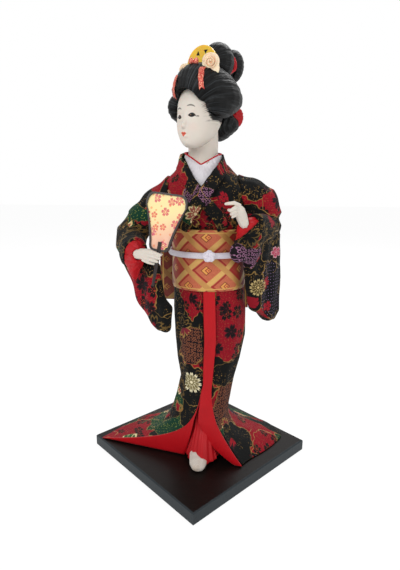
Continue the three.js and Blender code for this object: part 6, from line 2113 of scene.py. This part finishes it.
# %% Fan
fan_up = Vector(on_figure(-6.2, -12.2, 65.2) - on_figure(-9.5, -15.2, 45.6)).normalized()
fan_end = on_figure(-9.5, -15.2, 45.6)
fan_turn = math.radians(-14)
fan_across = Vector((math.cos(fan_turn), math.sin(fan_turn), 0))
fan_across = (fan_across - fan_up * fan_across.dot(fan_up)).normalized()

fan_paper, paper_shader = new_finish("fan_paper", "fan_paper", roughness=0.55, specular=0.4, sheen=0.05)
from_end = turn_vector("SUBTRACT", place_on_object(), [v * MM for v in fan_end])
leaf_u = turn_vector("DOT_PRODUCT", from_end, tuple(fan_across))
leaf_v = turn_vector("DOT_PRODUCT", from_end, tuple(fan_up))
leaf_place = vector_of(leaf_u, leaf_v)
fade = step_between(times_plus(leaf_u, -0.35, leaf_v), 0.05, 0.028)
leaf_cloud = cloudy(leaf_place, 180.0, 4.0)
leaf_colour = paint_over(times(fade, 0.8), linear(232, 214, 146), linear(222, 156, 142))
leaf_colour = paint_over(times(leaf_cloud, 0.3), leaf_colour, linear(244, 214, 190))
leaf_flowers = use(scatter, Place=leaf_place, Cells_per_metre=135.0, Size=0.4, Amount=0.6)
leaf_colour = paint_over(times(leaf_flowers["Petals"], 0.85), leaf_colour,
    paint_over(leaf_flowers["Chance"], linear(214, 74, 50), linear(196, 52, 96)))
leaf_colour = paint_over(leaf_flowers["Heart"], leaf_colour, linear(246, 226, 150))
small_petals = use(scatter, Place=turn_vector("ADD", leaf_place, (0.31, 0.17, 0)), Cells_per_metre=330.0,
                   Size=0.3, Amount=0.35)
leaf_colour = paint_over(times(small_petals["Petals"], 0.7), leaf_colour, linear(226, 120, 70))
scallop = size_of(calc("SINE", times(times_plus(leaf_u, 1.0, leaf_v), 520.0)))
foot_line = plus(times(leaf_u, 0.9), times_plus(scallop, -0.0012, 0.0225))
foot = step_between(leaf_v, foot_line, minus(foot_line, 0.0005))
leaf_colour = paint_over(foot, leaf_colour, linear(30, 24, 26))
foot_edge = step_between(size_of(minus(leaf_v, foot_line)), 0.0006, 0.0003)
leaf_colour = paint_over(foot_edge, leaf_colour, linear(232, 200, 120))
feed(paper_shader.inputs["Base Color"], leaf_colour)
raise_surface(paper_shader, cloudy(leaf_place, 1200.0, 3.0), 0.0001, 0.4)

fan_wood, wood_shader = new_finish(
    "fan_wood", "fan_wood", roughness=0.4, specular=0.3, coat=0.1, coat_roughness=0.2)
wood_grain = cloudy(turn_vector("MULTIPLY", place_on_object(), (900.0, 900.0, 60.0)), 1.0, 3.0)
feed(wood_shader.inputs["Base Color"], paint_over(wood_grain, linear(20, 14, 15), linear(44, 34, 32)))
raise_surface(wood_shader, wood_grain, 0.0001, 0.4)
for node, finish in (("fan_leaf", fan_paper), ("fan_rim", fan_wood), ("fan_handle", fan_wood)):
    paint_node(node, finish)
print("fan finished")

# %% [markdown]
# ## All pieces made

# %% All pieces made
print("all pieces made")

# %% Finish
bpy.context.scene.view_settings.view_transform = "Standard"
